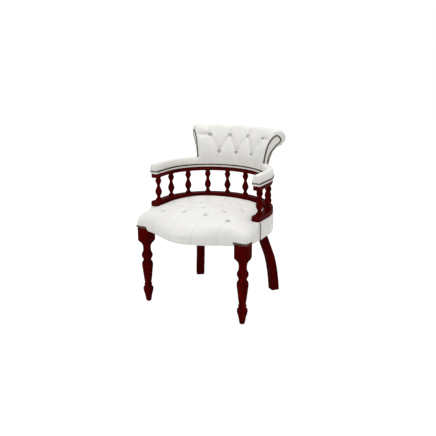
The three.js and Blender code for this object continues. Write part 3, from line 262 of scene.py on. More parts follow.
def mesh_piece(name, verts, faces, surface=None):
    """Object from vertices in mm and a list of face arrays, with outward normals."""
    mesh = bpy.data.meshes.new(name)
    mesh.from_pydata((verts * MM).tolist(), [], [f for block in faces for f in block.tolist()])
    if surface is not None:
        layer = mesh.uv_layers.new(name="surface")
        layer.data.foreach_set("uv", surface.ravel().astype(np.float32))
    tool = bmesh.new()
    tool.from_mesh(mesh)
    bmesh.ops.recalc_face_normals(tool, faces=tool.faces[:])
    tool.to_mesh(mesh)
    tool.free()
    mesh.polygons.foreach_set("use_smooth", np.ones(len(mesh.polygons), bool))
    mesh.set_sharp_from_angle(angle=SHARP_ANGLE)
    piece = bpy.data.objects.new(name, mesh)
    bpy.context.scene.collection.objects.link(piece)
    return piece


def copies(name, verts, faces, places, frames):
    """One mesh of a small shape repeated: each copy is turned by its 3x3 frame and moved."""
    whole = np.einsum("nij,kj->nki", frames, verts) + places[:, None, :]
    shift = np.arange(len(places))[:, None, None] * len(verts)
    blocks = [(block[None] + shift).reshape(-1, block.shape[1]) for block in faces]
    return mesh_piece(name, whole.reshape(-1, 3), blocks)


def outward_frames(normals):
    """A turn for each copy that takes its axis to the outward direction."""
    axis = normals / np.linalg.norm(normals, axis=1)[:, None]
    guide = np.where(np.abs(axis[:, 2:3]) > 0.9, [[1.0, 0, 0]], [[0, 0, 1.0]])
    side = np.cross(guide, axis)
    side /= np.linalg.norm(side, axis=1)[:, None]
    return np.stack([side, np.cross(axis, side), axis], 2)


def dome(radius, height, sides, steps, sink):
    """Dome on its axis +Z: a quarter of an ellipse turned round, closed below."""
    lift = np.linspace(0, math.pi / 2, steps + 1)[:-1]
    r = np.concatenate([[radius], radius * np.cos(lift)])
    z = np.concatenate([[-sink - height * 0.2], height * np.sin(lift)])
    wall = rings(0, 0, r[:, None], z[:, None], full_turn(sides))
    verts = np.vstack([wall.reshape(-1, 3), [[0, 0, height], [0, 0, z[0]]]])
    j = np.arange(sides)
    k = (j + 1) % sides
    top = np.stack([np.full(sides, len(verts) - 2), steps * sides + j, steps * sides + k], 1)
    low = np.stack([np.full(sides, len(verts) - 1), j, k], 1)
    return verts, [grid_faces(steps + 1, sides)[0], top, low]


def store_painted_shade(piece, shares):
    """Stores the painted shade of each point of a grid, from 0 for plain to 1 for as dark as the deepest
    creases.
    """
    values = np.zeros(len(piece.data.vertices), np.float32)
    values[:shares.size] = shares.ravel()
    layer = piece.data.attributes.new("painted_shade", "FLOAT", "POINT")
    layer.data.foreach_set("value", values)


def finish_piece(piece, material, slot, *nodes, fill=None):
    """Gives a piece its material and its place in the frame, and hides the frame nodes it stands for;
    `slot` is not used.
    """
    piece.data.materials.append(material)
    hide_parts(*nodes)
    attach(piece, "root")


def swept(name, section, end, count, ease):
    """A closed (out, z) section carried along the plan between the arcs -end and end.

    At each end extra rows follow a quarter round of radius `ease` between the end face and the
    sides, by drawing the section in."""
    near, draw = ease * (1 - np.cos(END_TURNS)), ease * (1 - np.sin(END_TURNS))
    arcs = np.linspace(-end, end, count)
    inner = arcs[(arcs > 1.5 * ease - end) & (arcs < end - 1.5 * ease)]
    at = np.concatenate([near - end, [ease - end], inner, [end - ease], (end - near)[::-1]])
    pull = both_ends(draw, np.zeros(len(inner) + 2))
    middle = section.mean(axis=0)
    reach = np.abs(section - middle).max(axis=0)
    local = middle + (section - middle) * (1 - pull[:, None, None] / reach)
    points = carry(at[:, None], local[..., 0], local[..., 1])
    across = run_of(np.vstack([section, section[:1]]))
    return skin(name, points, uv=(at, across))


# Wood

LEG_FOOT = [(0, 7.5), (0.3, 9.3), (1.2, 10.6)]
LEG_TURNING = [
    (0, 11), (5, 12.5), (15, 14.7), (25, 16), (35, 18), (45, 21), (55, 23.5), (63, 24.6), (70, 24.2),
    (76, 21), (80, 17.8), (83, 17.2), (86, 18.6), (88.5, 19.6), (91, 18.6), (94, 16.6), (98, 16.3),
    (107, 17.3), (120, 19.3),
    (135, 20.8), (150, 22.5), (165, 24.3), (180, 26.2), (190, 26.8), (197, 26.4), (203, 24.4), (208, 21),
    (212, 18.8), (217, 19.3), (222, 20.5), (227, 23.5), (232, 25.5), (237, 26.6), (241, 26.5), (246, 25.2),
    (250, 23.5), (255, 21), (260, 19.4), (270, 18.4), (278, 18.8), (288, 20), (292, 21.4), (297, 24.7),
    (302, 27.3), (306, 32.5), (311, 37), (316, 43),
]
LEG_BLOCK_Z = 318.0
LEG_TOP_Z = 423.0
LEG_TENON_SHARE = 0.66
LEG_TENON_RISE = 8.0
LEG_EASE = 2.5
LEG_SIDES = 96
SABRE_LEG = [
    (0, 221, 219), (60, 217, 215), (120, 211, 208), (180, 203, 196), (240, 190, 177), (270, 183, 168),
    (320, 171, 151), (372, 158, 134), (398, 158, 134), (423, 158, 134),
]
SABRE_Y = CENTRE_Y + 30.0
REAR_LEG_SIDE = 41.5
REAR_LEG_EASE = 0.12
REAR_LEG_TURN = 53.0
REAR_FOOT_Z = 1.6
REAR_FOOT_EASE = (2.0, 0.4)
SPINDLE_TURNING = [
    (0, 15.2), (4, 14.6), (9, 11.0), (15, 8.2), (20, 8.8), (28, 12.9), (34, 15.4), (40, 16.3), (47, 15.3),
    (56, 12.1), (64, 8.9), (70, 7.5), (76, 8.2), (85, 12.0), (91, 14.3), (96, 14.8), (101, 13.4),
    (106, 10.8), (110, 12.3), (114, 14.4),
]
SPINDLES = 10
SPINDLE_PITCH = 103.0
SPINDLE_SIDES = 40
RAIL_ROWS = 361


def square_reach(turn, half, ease):
    """Distance from the middle to the edge of a square with eased corners, by direction.

    The corner is a superellipse whose power grows as the easing gets small."""
    diagonal = half * math.sqrt(2)
    power = math.log(2) / (math.log(diagonal) - math.log(diagonal - ease * 0.414))
    c, s = np.abs(np.cos(turn)), np.abs(np.sin(turn))
    return half / (c ** power + s ** power) ** (1 / power)


def build_front_leg(name, side, material):
    """Turned leg: circles of the profile's radius, held inside the eased square of the block."""
    turned = curve(LEG_TURNING, 260)
    block_z = np.linspace(LEG_BLOCK_Z, LEG_TOP_Z, 12)
    block = np.stack([block_z, np.full(len(block_z), LEG_BLOCK)], 1)
    profile = np.vstack([LEG_FOOT, turned[turned[:, 0] > 2], block])
    z, radius = profile[:, :1], profile[:, 1:]
    turn = full_turn(LEG_SIDES)
    tenon = np.where(z > CORNER_HEM_Z + LEG_TENON_RISE, LEG_TENON_SHARE, 1.0)
    reach = np.minimum(radius, tenon * square_reach(turn, LEG_BLOCK / 2, LEG_EASE))
    piece = skin("turned_front_leg_" + name, rings(side * LEG_X, LEG_Y, reach, z, turn))
    finish_piece(piece, material, "polished_wood", "front_leg_" + name)


def build_rear_leg(name, side, material):
    """Square leg carried up a curved centre line, turned towards its corner of the seat."""
    line = curve(SABRE_LEG, 110)
    line[1, 0] = REAR_FOOT_Z
    half = np.full(len(line), REAR_LEG_SIDE / 2)
    half[:2] -= REAR_FOOT_EASE
    turn = full_turn(LEG_SIDES)
    reach = square_reach(turn, 1.0, REAR_LEG_EASE) * half[:, None]
    z, x, y = (line[:, k:k + 1] for k in range(3))
    points = rings(x, y + SABRE_Y, reach, z, turn + math.radians(REAR_LEG_TURN)) * [side, 1, 1]
    piece = skin("sabre_rear_leg_" + name, points)
    finish_piece(piece, material, "polished_wood", "rear_leg_" + name)


def build_rails(material):
    """Lower and upper rail: eased box sections carried round the plan."""
    lower = rounded_box((0, RAIL_Z), (RAIL_WIDTH, RAIL_TOP_Z), (3.5, 3.5, 4.5, 4.5))
    upper = rounded_box((3.5, UPPER_RAIL_Z), (35, ARM_Z - 0.3), (3, 3, 2, 2))
    for name, section, end_y, ease in (("lower", lower, GALLERY_END_Y, 3.5),
                                       ("upper", upper, ARM_END_Y + 3.5, 3.0)):
        piece = swept(name + "_rail", densify(section, 3.0), arc_at(end_y), RAIL_ROWS, ease)
        finish_piece(piece, material, "polished_wood", f"gallery_{name}_rail")


def build_spindle(number, material):
    """Turned spindle: circles of the profile's radius between the two rails."""
    arc = arc_on_line((number - (SPINDLES + 1) / 2) * SPINDLE_PITCH, RAIL_MIDDLE)
    x, y, _ = carry(arc, RAIL_MIDDLE, 0.0)
    profile = curve(SPINDLE_TURNING, 110)
    z = RAIL_TOP_Z + profile[:, :1] / SPINDLE_TURNING[-1][0] * (UPPER_RAIL_Z - RAIL_TOP_Z)
    points = rings(x, y, profile[:, 1:], z, full_turn(SPINDLE_SIDES))
    name = f"spindle_{number:02d}"
    finish_piece(skin("turned_" + name, points), material, "polished_wood", name)


# Buttoning, shared by the seat and the back

RING_RADIUS = 5.8
RING_WIDTH = 2.0
FOLD_WIDTH = 1.5
FOLD_FADE = 16.0
PUCKER_WAVES = (5, 7, 9, 11)
BUTTON_LIFT = 0.4
VALLEY_EASE = 3.0
PILLOW_WIDENING = 0.55


def segment_distance(x, y, a, b):
    """Distance to the line from a to b, and the share of the way along it."""
    dx, dy = b[0] - a[0], b[1] - a[1]
    t = np.clip(((x - a[0]) * dx + (y - a[1]) * dy) / (dx * dx + dy * dy), 0, 1)
    return np.hypot(x - a[0] - t * dx, y - a[1] - t * dy), t


def soft_least(gaps, ease):
    """Least of several distances, rounded off where two of them are alike."""
    gaps = np.array(gaps)
    low = gaps.min(axis=0)
    return low - ease * np.log(np.exp(-(gaps - low) / ease).sum(axis=0))


def full_roll(share, power=2.4):
    """Rises steeply from 0 at 0 and turns level at 1, as padding does beside a seam."""
    eased = np.sqrt(np.clip(share, 0, 2) ** 2 + 0.0025) - 0.05
    return (1 - (1 - np.clip(eased, 0, 1)) ** power) ** (1 / power)


def button_pit(x, y, at, floor, reach):
    """1 over the button's flat floor, and falling off round it."""
    r = np.maximum(np.hypot(x - at[0], y - at[1]) - floor, 0)
    return np.exp(-((r / reach) ** 1.5))


def button_ring(x, y, at, gap, fold_shade):
    """Shadow round a button: a dark ring at its edge, and folds that leave it and fade."""
    r = np.hypot(x - at[0], y - at[1])
    ring = np.exp(-(((r - RING_RADIUS) / RING_WIDTH) ** 2))
    return np.maximum(ring, fold_shade * np.exp(-gap / FOLD_WIDTH - r / FOLD_FADE))


def puckers(x, y, at, seed, reach):
    """Small folds that fan out from a button: waves round it that die away with distance."""
    dx, dy = x - at[0], y - at[1]
    r = np.hypot(dx, dy)
    turn = np.arctan2(dy, dx)
    random = np.random.default_rng(seed)
    wave = 0
    for count in PUCKER_WAVES:
        wave = wave + random.uniform(0.5, 1) * np.cos(count * turn + random.uniform(0, 2 * math.pi))
    return wave / 3 * (r / reach) * np.exp(-((r / reach) ** 1.5)) * 2


def pillow_width(x, y, buttons, narrow, wide):
    """How wide the rise from a fold to its pillow is: narrow at a button, wider away from it."""
    from_button = np.min([np.hypot(x - at[0], y - at[1]) for at in buttons], axis=0)
    return np.minimum(wide, narrow + PILLOW_WIDENING * from_button)


def button_marks(x, y, buttons, gap, pits, fold_shade, seed, reach):
    """What the buttons do to the leather: depth of their pits, their shadow and their ripple.

    `pits` lists (depth, radius of the floor, reach) of what makes up each button's pit."""
    depth, shade, ripple = np.zeros((3, *x.shape))
    for number, at in enumerate(buttons):
        pit = np.sum([deep * button_pit(x, y, at, floor, wide) for deep, floor, wide in pits], axis=0)
        depth = np.maximum(depth, pit)
        shade = np.maximum(shade, button_ring(x, y, at, gap, fold_shade))
        ripple += puckers(x, y, at, seed + number, reach)
    return depth, shade, ripple


def button_piece(name, size, places, frames, material, node):
    """One piece of covered buttons, low domes of a radius and a height that sit in their pits."""
    piece = copies(name, *dome(*size, 28, 7, 3.0), places, frames)
    finish_piece(piece, material, "leather", node)


# Seat

# A span says where a change starts and where it is complete
BOW_HALF_WAVE = 270.0
BOW_FLAT_X = 225.0
HEM_CORNER = 9.0
SHOULDER_CORNER = 36.0
FRONT_BULGE = 17.0
SIDE_BULGE = 3.0
CORNER_BULGE = 10.0
CORNER_BULGE_SPAN = (130.0, 205.0)
NAIL_STRIP = 7.5
LEG_EDGE = 0.8
FRONT_SPAN = (-SEAT_CORNER_Y - 46, -SEAT_CORNER_Y - 4)
COVERED_SPAN = (GALLERY_END_Y - 0.7, GALLERY_END_Y - 0.3)
BY_RAIL_SPAN = (GALLERY_END_Y - 34, GALLERY_END_Y - 3)
SIDE_SHOULDER_Z = 430.0
FRONT_SHOULDER_Z = 404.0
SHOULDER_FALL_SPAN = (118.0, 236.0)
RAIL_SHOULDER_RISE = 23.0
COVERED_SHOULDER_Z = 452.5
COVERED_HEM_Z = 425.0
SIDE_ROLL = 30.0
FRONT_ROLL = 48.0
FRONT_ROLL_SPAN = (120.0, 262.0)
RAIL_ROLL_LOSS = 25.0
COVERED_ROLL = 4.0
ROLL_POWER = 2.1
BULGE_POWER = 2.2
LEAN_REACH = 40.0
SIDE_ROWS = 26
SIDE_TURN_POWER = 1.3
PLEAT_START = 0.25
INNER_WALL_Z = 397.0
CEILING_Z = 427.0
CROWN_Z = 489.8
CROWN_HALF_WIDTH = 266.0
CROWN_HALF_DEPTH = 319.0
CROWN_FALL_Y = CENTRE_Y - 69.0
CROWN_FRONT_FALL = 0.0009
CROWN_SIDE_FALL = 32.8
CROWN_BACK_Y = CENTRE_Y + 110.0
CROWN_BACK_FALL = 0.0011
CROWN_BY_RAIL_Z = RAIL_Z + 1.5
CROWN_RELEASE = 30.0
CROWN_RAIL_SPAN = (GALLERY_END_Y - 40, GALLERY_END_Y - 6)
UNDER_RAIL_Z = RAIL_Z - 0.7
UNDER_RAIL_SLOPE = 1.3
UNDER_RAIL_EASE = 2.5
UNDENTED_REACH = 12.0
# Shares of the way from the rim to the middle: the finer rows of the roll, and the last row
ROLL_SHARE = 0.16
MIDDLE_SHARE = 0.97
SEAT_MIDDLE = np.array([0.0, CENTRE_Y - 30.0])
SEAT_COLUMNS = 1080
EDGE_BLOCK = 4000

BUTTON_PITCH = 114.0
BUTTON_ROW_GAP = 76.5
FRONT_ROW_Y = CENTRE_Y - 158.0
WIDE_ROW = (-1.5, -0.5, 0.5, 1.5)
NARROW_ROW = (-1, 0, 1)
REAR_ROW = (-0.5, 0.5)
SEAT_BUTTONS = [
    (column * BUTTON_PITCH, FRONT_ROW_Y + row * BUTTON_ROW_GAP)
    for row, columns in enumerate([WIDE_ROW, NARROW_ROW, WIDE_ROW, NARROW_ROW, REAR_ROW])
    for column in columns
]
SEAT_FOLD_RISE = 22.0
SEAT_FOLD_SPAN = (0.08, 0.42)
FRONT_FOLD_GAP = 6.0
FRONT_FOLD_RISE = 10.0
SEAT_PILLOW = 7.5
SEAT_PILLOW_WIDTHS = (9.0, 34.0)
SEAT_PILLOW_POWER = 1.8
SEAT_PITS = [(6.5, 4.0, 9.0)]
SEAT_FOLD_SHADE = 0.9
SEAT_RIPPLE = 2.2
SEAT_RIPPLE_REACH = 14.0
SEAT_PUCKER_SEED = 40
SEAT_PLEATS = ((-171.0, -178.0), (-57.0, -46.0), (57.0, 67.0), (171.0, 166.0))
PLEAT_END_Y = BOW_FRONT_Y + 30.0
PLEAT_DEPTH = 2.0
PLEAT_WIDTH = 2.2
PLEAT_VALLEY_DEPTH = 1.1
PLEAT_VALLEY_WIDTH = 12.0
PLEAT_SHADE = 0.16

BAND_IN = 37.2
BAND_OUT = 41.5
BAND_ROWS = 321


def pleat_depth(x, y):
    """Depth of the four thin pleats, each from a front button to its own place at the hem."""
    depth = np.zeros(x.shape)
    for start, end in SEAT_PLEATS:
        way = np.clip((FRONT_ROW_Y - y) / (FRONT_ROW_Y - PLEAT_END_Y), 0, 1)
        gap = np.abs(x - start - (end - start) * way) + 100.0 * (y > FRONT_ROW_Y)
        thin = PLEAT_DEPTH * np.exp(-((gap / PLEAT_WIDTH) ** 1.2))
        depth = np.maximum(depth, thin + PLEAT_VALLEY_DEPTH * np.exp(-gap / PLEAT_VALLEY_WIDTH))
    return depth


def pleat_shade(x, y):
    """Faint shadow along the four pleats."""
    return PLEAT_SHADE * (pleat_depth(x, y) / (PLEAT_DEPTH + PLEAT_VALLEY_DEPTH)) ** 3


def bow_y(x):
    """Front edge: half a cosine wave each side of the middle, meeting straight corners."""
    rise = (1 - np.cos(math.pi * np.minimum(np.abs(x), BOW_FLAT_X) / BOW_HALF_WAVE)) / 2
    full = (1 - math.cos(math.pi * BOW_FLAT_X / BOW_HALF_WAVE)) / 2
    return BOW_FRONT_Y + (SEAT_CORNER_Y - BOW_FRONT_Y) * rise / full


def seat_outline(count):
    """Seat's plan outline at the hem and at the shoulder, where the front corners are rounder.

    Both are made of the same number of points, and are then spaced by the hem's length."""
    def half_outline(corner):
        front_x = np.linspace(0, BOW_FLAT_X, 80)
        flat_x = np.linspace(BOW_FLAT_X + 3, SEAT_SIDE_X - corner, 20)
        turn = np.radians(np.linspace(-90, 0, 19)[1:])
        side_y = np.linspace(SEAT_CORNER_Y + corner, GALLERY_END_Y - 0.8, 36)[1:]
        arcs = np.linspace(arc_at(GALLERY_END_Y - 0.4), 0, 160)
        half = np.vstack([
            np.stack([front_x, bow_y(front_x)], 1),
            np.stack([flat_x, np.full(len(flat_x), SEAT_CORNER_Y)], 1),
            np.stack([SEAT_SIDE_X - corner + corner * np.cos(turn),
                      SEAT_CORNER_Y + corner + corner * np.sin(turn)], 1),
            np.stack([np.full(len(side_y), SEAT_SIDE_X), side_y], 1),
            carry(arcs, RAIL_MIDDLE, 0.0)[:, :2],
        ])
        return np.vstack([half, half[-2:0:-1] * [-1, 1], half[:1]])
    hem, shoulder = half_outline(HEM_CORNER), half_outline(SHOULDER_CORNER)
    run = run_of(hem)
    at = np.linspace(0, run[-1], count, endpoint=False)
    return [read_line(at, run, line) for line in (hem, shoulder)]


def nearest_edge(points, outline):
    """Distance from each point to a closed outline."""
    step = np.roll(outline, -1, axis=0) - outline
    best = np.full(len(points), 1e9)
    for first in range(0, len(points), EDGE_BLOCK):
        way = points[first:first + EDGE_BLOCK, None, :] - outline[None]
        t = np.clip((way * step).sum(2) / np.maximum((step * step).sum(1), 1e-9), 0, 1)
        gap = way - t[..., None] * step
        best[first:first + EDGE_BLOCK] = np.sqrt((gap * gap).sum(2).min(axis=1))
    return best


def rail_distance(x, y):
    """How far a plan place lies inside or in front of the gallery rail, 0 under it."""
    nx, ny = x / HALF_WIDTH, (y - CENTRE_Y) / BACK_DEPTH
    reach = np.maximum(np.hypot(nx, ny), 1e-6)
    slope = np.hypot(nx / HALF_WIDTH, ny / BACK_DEPTH) / reach
    round_back = (1 - reach) / np.maximum(slope, 1e-6)
    inside = np.maximum(np.where(y > CENTRE_Y, round_back, HALF_WIDTH - np.abs(x)), 0)
    ahead = GALLERY_END_Y - y
    return np.where(ahead > 0, np.hypot(inside, ahead), inside)


def seat_crown(x, y):
    """Crown of the seat: a dome, with an extra fall beyond a front line and beyond a back line
    that grows with the square of the distance from them."""
    reach = np.hypot(x / CROWN_HALF_WIDTH, np.maximum(y - CENTRE_Y, 0) / CROWN_HALF_DEPTH)
    ahead = np.maximum(CROWN_FALL_Y - y, 0)
    behind = np.maximum(y - CROWN_BACK_Y, 0)
    fall = CROWN_FRONT_FALL * ahead ** 2 + CROWN_BACK_FALL * behind ** 2
    return CROWN_Z - CROWN_SIDE_FALL * reach ** 2.25 - fall


def seat_dents(x, y):
    """Depth of the seat's buttoning, and its shadow: pits, and folds that fade between them."""
    gaps = []
    for i, a in enumerate(SEAT_BUTTONS):
        for b in SEAT_BUTTONS[i + 1:]:
            apart_x, apart_y = abs(a[0] - b[0]), abs(a[1] - b[1])
            if abs(apart_x - BUTTON_PITCH / 2) < 1 and abs(apart_y - BUTTON_ROW_GAP) < 1:
                gap, share = segment_distance(x, y, a, b)
                apart = blend_step(np.minimum(share, 1 - share), *SEAT_FOLD_SPAN)
                gaps.append(gap + SEAT_FOLD_RISE * apart)
    for column in WIDE_ROW:
        across = column * BUTTON_PITCH
        gap, share = segment_distance(x, y, (across, FRONT_ROW_Y), (across, BOW_FRONT_Y - 30))
        gaps.append(gap + FRONT_FOLD_GAP + FRONT_FOLD_RISE * blend_step(share, 0, 0.3))
    gap = np.maximum(soft_least(gaps, VALLEY_EASE), 0)
    pillow = full_roll(gap / pillow_width(x, y, SEAT_BUTTONS, *SEAT_PILLOW_WIDTHS), SEAT_PILLOW_POWER)
    pits, shade, ripple = button_marks(x, y, SEAT_BUTTONS, gap, SEAT_PITS, SEAT_FOLD_SHADE,
                                       SEAT_PUCKER_SEED, SEAT_RIPPLE_REACH)
    depth = SEAT_PILLOW * (1 - pillow) + pits + SEAT_RIPPLE * ripple + pleat_depth(x, y)
    return depth, np.maximum(shade, pleat_shade(x, y))


def seat_edge(x, y):
    """How the seat changes round its outline.

    `free` is 1 where no rail covers the edge, `front` over the bowed front and `over_leg` over
    the blocks of the front legs. `hem`, `shoulder`, `bulge` and `roll` are the hem's and the
    shoulder's heights, how far the side stands out and how wide the roll over the edge is;
    the last three change again just ahead of the rail's ends."""
    free = 1 - blend_step(y, *COVERED_SPAN)
    front = free * blend_step(-y, *FRONT_SPAN)
    by_rail = blend_step(y, *BY_RAIL_SPAN) * free
    middle = np.cos(math.pi / 2 * np.clip(x / SEAT_SIDE_X, -1, 1)) ** 2
    base = SIDE_BULGE + (CORNER_BULGE - SIDE_BULGE) * blend_step(-y, *CORNER_BULGE_SPAN)
    bulge = free * (base + (FRONT_BULGE - base) * middle * front) * (1 - by_rail)
    block = LEG_BLOCK / 2 + LEG_EDGE
    inner_x, rear_y = LEG_X - block, LEG_Y + block
    over_leg = blend_step(np.abs(x), inner_x - LEG_EDGE, inner_x + LEG_EDGE) * free
    over_leg *= 1 - blend_step(y, rear_y - LEG_EDGE, rear_y + LEG_EDGE)
    hem = HEM_Z + (CORNER_HEM_Z - HEM_Z) * over_leg
    hem = hem * free + COVERED_HEM_Z * (1 - free)
    fall = free * blend_step(-y, *SHOULDER_FALL_SPAN)
    shoulder = SIDE_SHOULDER_Z + (FRONT_SHOULDER_Z - SIDE_SHOULDER_Z) * fall
    shoulder = (shoulder + RAIL_SHOULDER_RISE * by_rail ** 2) * free + COVERED_SHOULDER_Z * (1 - free)
    wide = front * (1 - blend_step(np.abs(x), *FRONT_ROLL_SPAN))
    roll = SIDE_ROLL + (FRONT_ROLL - SIDE_ROLL) * wide - RAIL_ROLL_LOSS * by_rail
    roll = roll * free + COVERED_ROLL * (1 - free)
    return SimpleNamespace(free=free, front=front, over_leg=over_leg, hem=hem, shoulder=shoulder,
                           bulge=bulge, roll=roll)


def seat_sides(outline, rounder, edge):
    """Sides from the hem to the shoulder: their rim, their outward directions and their points.

    A side swells from above the nails' strip to its full bulge at the shoulder, and the pleats
    start a little above the hem."""
    h = np.linspace(0, 1, SIDE_ROWS)[:, None]
    lift = edge.hem + (edge.shoulder - edge.hem) * h
    flat = NAIL_STRIP * edge.over_leg
    swell = np.clip((lift - edge.hem - flat) / (edge.shoulder - edge.hem - flat), 0, 1)
    lines = outline + (rounder - outline) * (h ** SIDE_TURN_POWER)[..., None]
    ahead = np.roll(lines, -1, axis=1) - np.roll(lines, 1, axis=1)
    out = np.stack([ahead[..., 1], -ahead[..., 0]], 2) / np.linalg.norm(ahead, axis=2)[..., None]
    rim = rounder + out[-1] * edge.bulge[:, None]
    pleats = pleat_depth(*rim.T) * edge.front * blend_step(h, 0.0, PLEAT_START)
    push = edge.bulge * (1 - (1 - swell) ** BULGE_POWER) - pleats
    return rim, out, np.concatenate([lines + out * push[..., None], lift[..., None]], 2)


def seat_top(rim, outward, edge):
    """Top from the shoulder to the middle, and its shadow.

    The roll rises to the crown, which is held up near the rail and low under it. The dents go
    straight down, and lean outwards over the front's roll."""
    near = ROLL_SHARE * (1 - np.cos(np.linspace(0, math.pi / 2, 26)[1:]))
    rows = np.concatenate([near, np.linspace(ROLL_SHARE, MIDDLE_SHARE, 170)[1:]])[:, None, None]
    places = rim + (SEAT_MIDDLE - rim) * rows
    x, y = places[..., 0], places[..., 1]
    from_edge = nearest_edge(places.reshape(-1, 2), rim).reshape(x.shape)
    share = np.clip(from_edge / edge.roll, 0, 1)
    roll = (1 - (1 - share) ** ROLL_POWER) ** (1 / ROLL_POWER)
    rise = blend_step(y, *CROWN_RAIL_SPAN)
    crown = np.maximum(seat_crown(x, y), CROWN_BY_RAIL_Z - CROWN_RELEASE * (1 - rise))
    from_rail = rail_distance(x, y)
    under_rail = UNDER_RAIL_Z + UNDER_RAIL_SLOPE * from_rail
    top = soft_least([edge.shoulder + (crown - edge.shoulder) * roll, under_rail], UNDER_RAIL_EASE)
    clear = blend_step(from_rail, 0, UNDENTED_REACH)
    dents, shade = seat_dents(x, y)
    pleats = pleat_depth(x, y)
    inside = blend_step(from_edge, 0, LEAN_REACH)
    dents = (pleats + (dents - pleats) * inside) * clear
    lean = (1 - inside) * edge.front
    places = places - outward * (dents * lean)[..., None]
    return np.concatenate([places, (top - dents * (1 - lean))[..., None]], 2), shade * clear


def seat_underside(outline, rounder, out, edge):
    """Hollow underside, from its middle to the lip below the hem.

    Each row is drawn in from the hem's or the shoulder's line, by one distance where the edge is
    free and by another where the rail covers it."""
    rows = ((outline, out[0], 1.0, 1.0, edge.hem - 0.8), (outline, out[0], 2.0, 2.0, edge.hem),
            (outline, out[0], 2.2, 6.0, edge.hem + 6), (rounder, out[-1], 3.0, 6.0, INNER_WALL_Z),
            (rounder, out[-1], 24.0, 6.0, CEILING_Z))
    under = []
    for line, outward, free_gap, rail_gap, z in rows:
        inset = line - outward * np.where(edge.free > 0.5, free_gap, rail_gap)[:, None]
        under.append(np.column_stack([inset, np.broadcast_to(z, len(inset))]))
    for share in (0.5, 0.03):
        closer = SEAT_MIDDLE + (inset - SEAT_MIDDLE) * share
        under.append(np.column_stack([closer, np.full(len(closer), CEILING_Z)]))
    return np.stack(under[::-1])


def build_seat(material, button_material):
    """Seat: upright sides that bulge above the hem, a roll over the front, and a buttoned crown.

    Columns go round the outline. Rows go from the middle of the hollow underside, out and down
    to the hem, up the side, over the roll and along straight lines to the middle of the top."""
    outline, rounder = seat_outline(SEAT_COLUMNS)
    edge = seat_edge(*outline.T)
    rim, out, sides = seat_sides(outline, rounder, edge)
    top, shade = seat_top(rim, out[-1], edge)
    under = seat_underside(outline, rounder, out, edge)
    piece = skin("buttoned_seat", np.concatenate([under, sides, top]))
    # Painted shade: the pleats on the sides and the buttoning on the top are darkened in the colour
    upright = np.tile(pleat_shade(*rim.T) * edge.front, (len(sides), 1))
    store_painted_shade(piece, np.concatenate([np.zeros(under.shape[:2]), upright, shade]))
    finish_piece(piece, material, "leather", "seat_cushion", fill=0.8)
    x, y = np.array(SEAT_BUTTONS).T
    places = np.stack([x, y, seat_crown(x, y) - seat_dents(x, y)[0] + BUTTON_LIFT], 1)
    frames = np.broadcast_to(np.eye(3), (len(places), 3, 3))
    button_piece("seat_buttons", (6.0, 4.0), places, frames, button_material, "seat_cushion")


def band_swell(z):
    """How far the band stands out at a height: most in the middle, nothing at its edges."""
    share = np.clip((z - HEM_Z) / (RAIL_Z - HEM_Z), 0, 1)
    return 1.6 * np.sin(math.pi * share) ** 0.8


def build_band(material):
    """Leather band round the sides and back of the seat frame, slightly full in the middle."""
    section = densify(rounded_box((BAND_IN, HEM_Z), (BAND_OUT, RAIL_Z - 0.4), (0.6, 2, 1.5, 0.6)), 4.0)
    section[:, 0] += (section[:, 0] > BAND_OUT - 1.5) * band_swell(section[:, 1])
    piece = swept("side_band", section, arc_at(GALLERY_END_Y), BAND_ROWS, 1.5)
    finish_piece(piece, material, "leather", "seat_side_band", fill=0.5)


# Arms

PAD_START_ARC = 191.3
ARM_HEIGHT = 48.0
ARM_CORNER = 4.5
ARM_EDGE = 8.0
ARM_END_STEPS = np.array([11.5, 8.5, 6.0, 3.9, 2.2, 1.0, 0.25, 0])
SIDE_POWER = 0.42
CROWN_POWER = 0.75
FULL_Z = 27.0
FULL_STAND = 1.3
FULL_REACH = 12.0
NAIL_DENT = 0.9
NAIL_DENT_REACH = 2.6


def quarter_round(radius, behind):
    """How far a rounded corner is drawn in at a distance behind its front."""
    return radius - np.sqrt(np.maximum(radius ** 2 - np.maximum(radius - behind, 0) ** 2, 0))


def build_arm(name, side, material):
    """Arm pad: upright walls drawn in at the nails, soft edges and a low crown.

    The section runs from the inner foot round the top to the outer foot; near the front end it
    is drawn in sideways round the corner and down over the top edge."""
    end = arc_at(ARM_END_Y)
    arcs = np.concatenate([np.linspace(PAD_START_ARC, end - 14, 110), end - ARM_END_STEPS])[:, None]
    turn = math.pi * (1 - np.linspace(0, 1, 61))
    outward = np.sign(np.cos(turn))
    across = outward * np.abs(np.cos(turn)) ** SIDE_POWER
    lift = np.abs(np.sin(turn)) ** CROWN_POWER
    above = ARM_HEIGHT * lift
    full = FULL_STAND * np.exp(-(((above - FULL_Z) / FULL_REACH) ** 2))
    full -= NAIL_DENT * np.exp(-(((ARM_Z + above - NAIL_Z) / NAIL_DENT_REACH) ** 2))
    half = ARM_WIDTH / 2
    reach = (half - quarter_round(ARM_CORNER, end - arcs)) * across + outward * full
    z = ARM_Z + (ARM_HEIGHT - quarter_round(ARM_EDGE, end - arcs)) * lift
    piece = skin("padded_arm_" + name, carry(side * arcs, half + reach, z))
    finish_piece(piece, material, "leather", "arm_pad_" + name, fill=0.9)


# Back

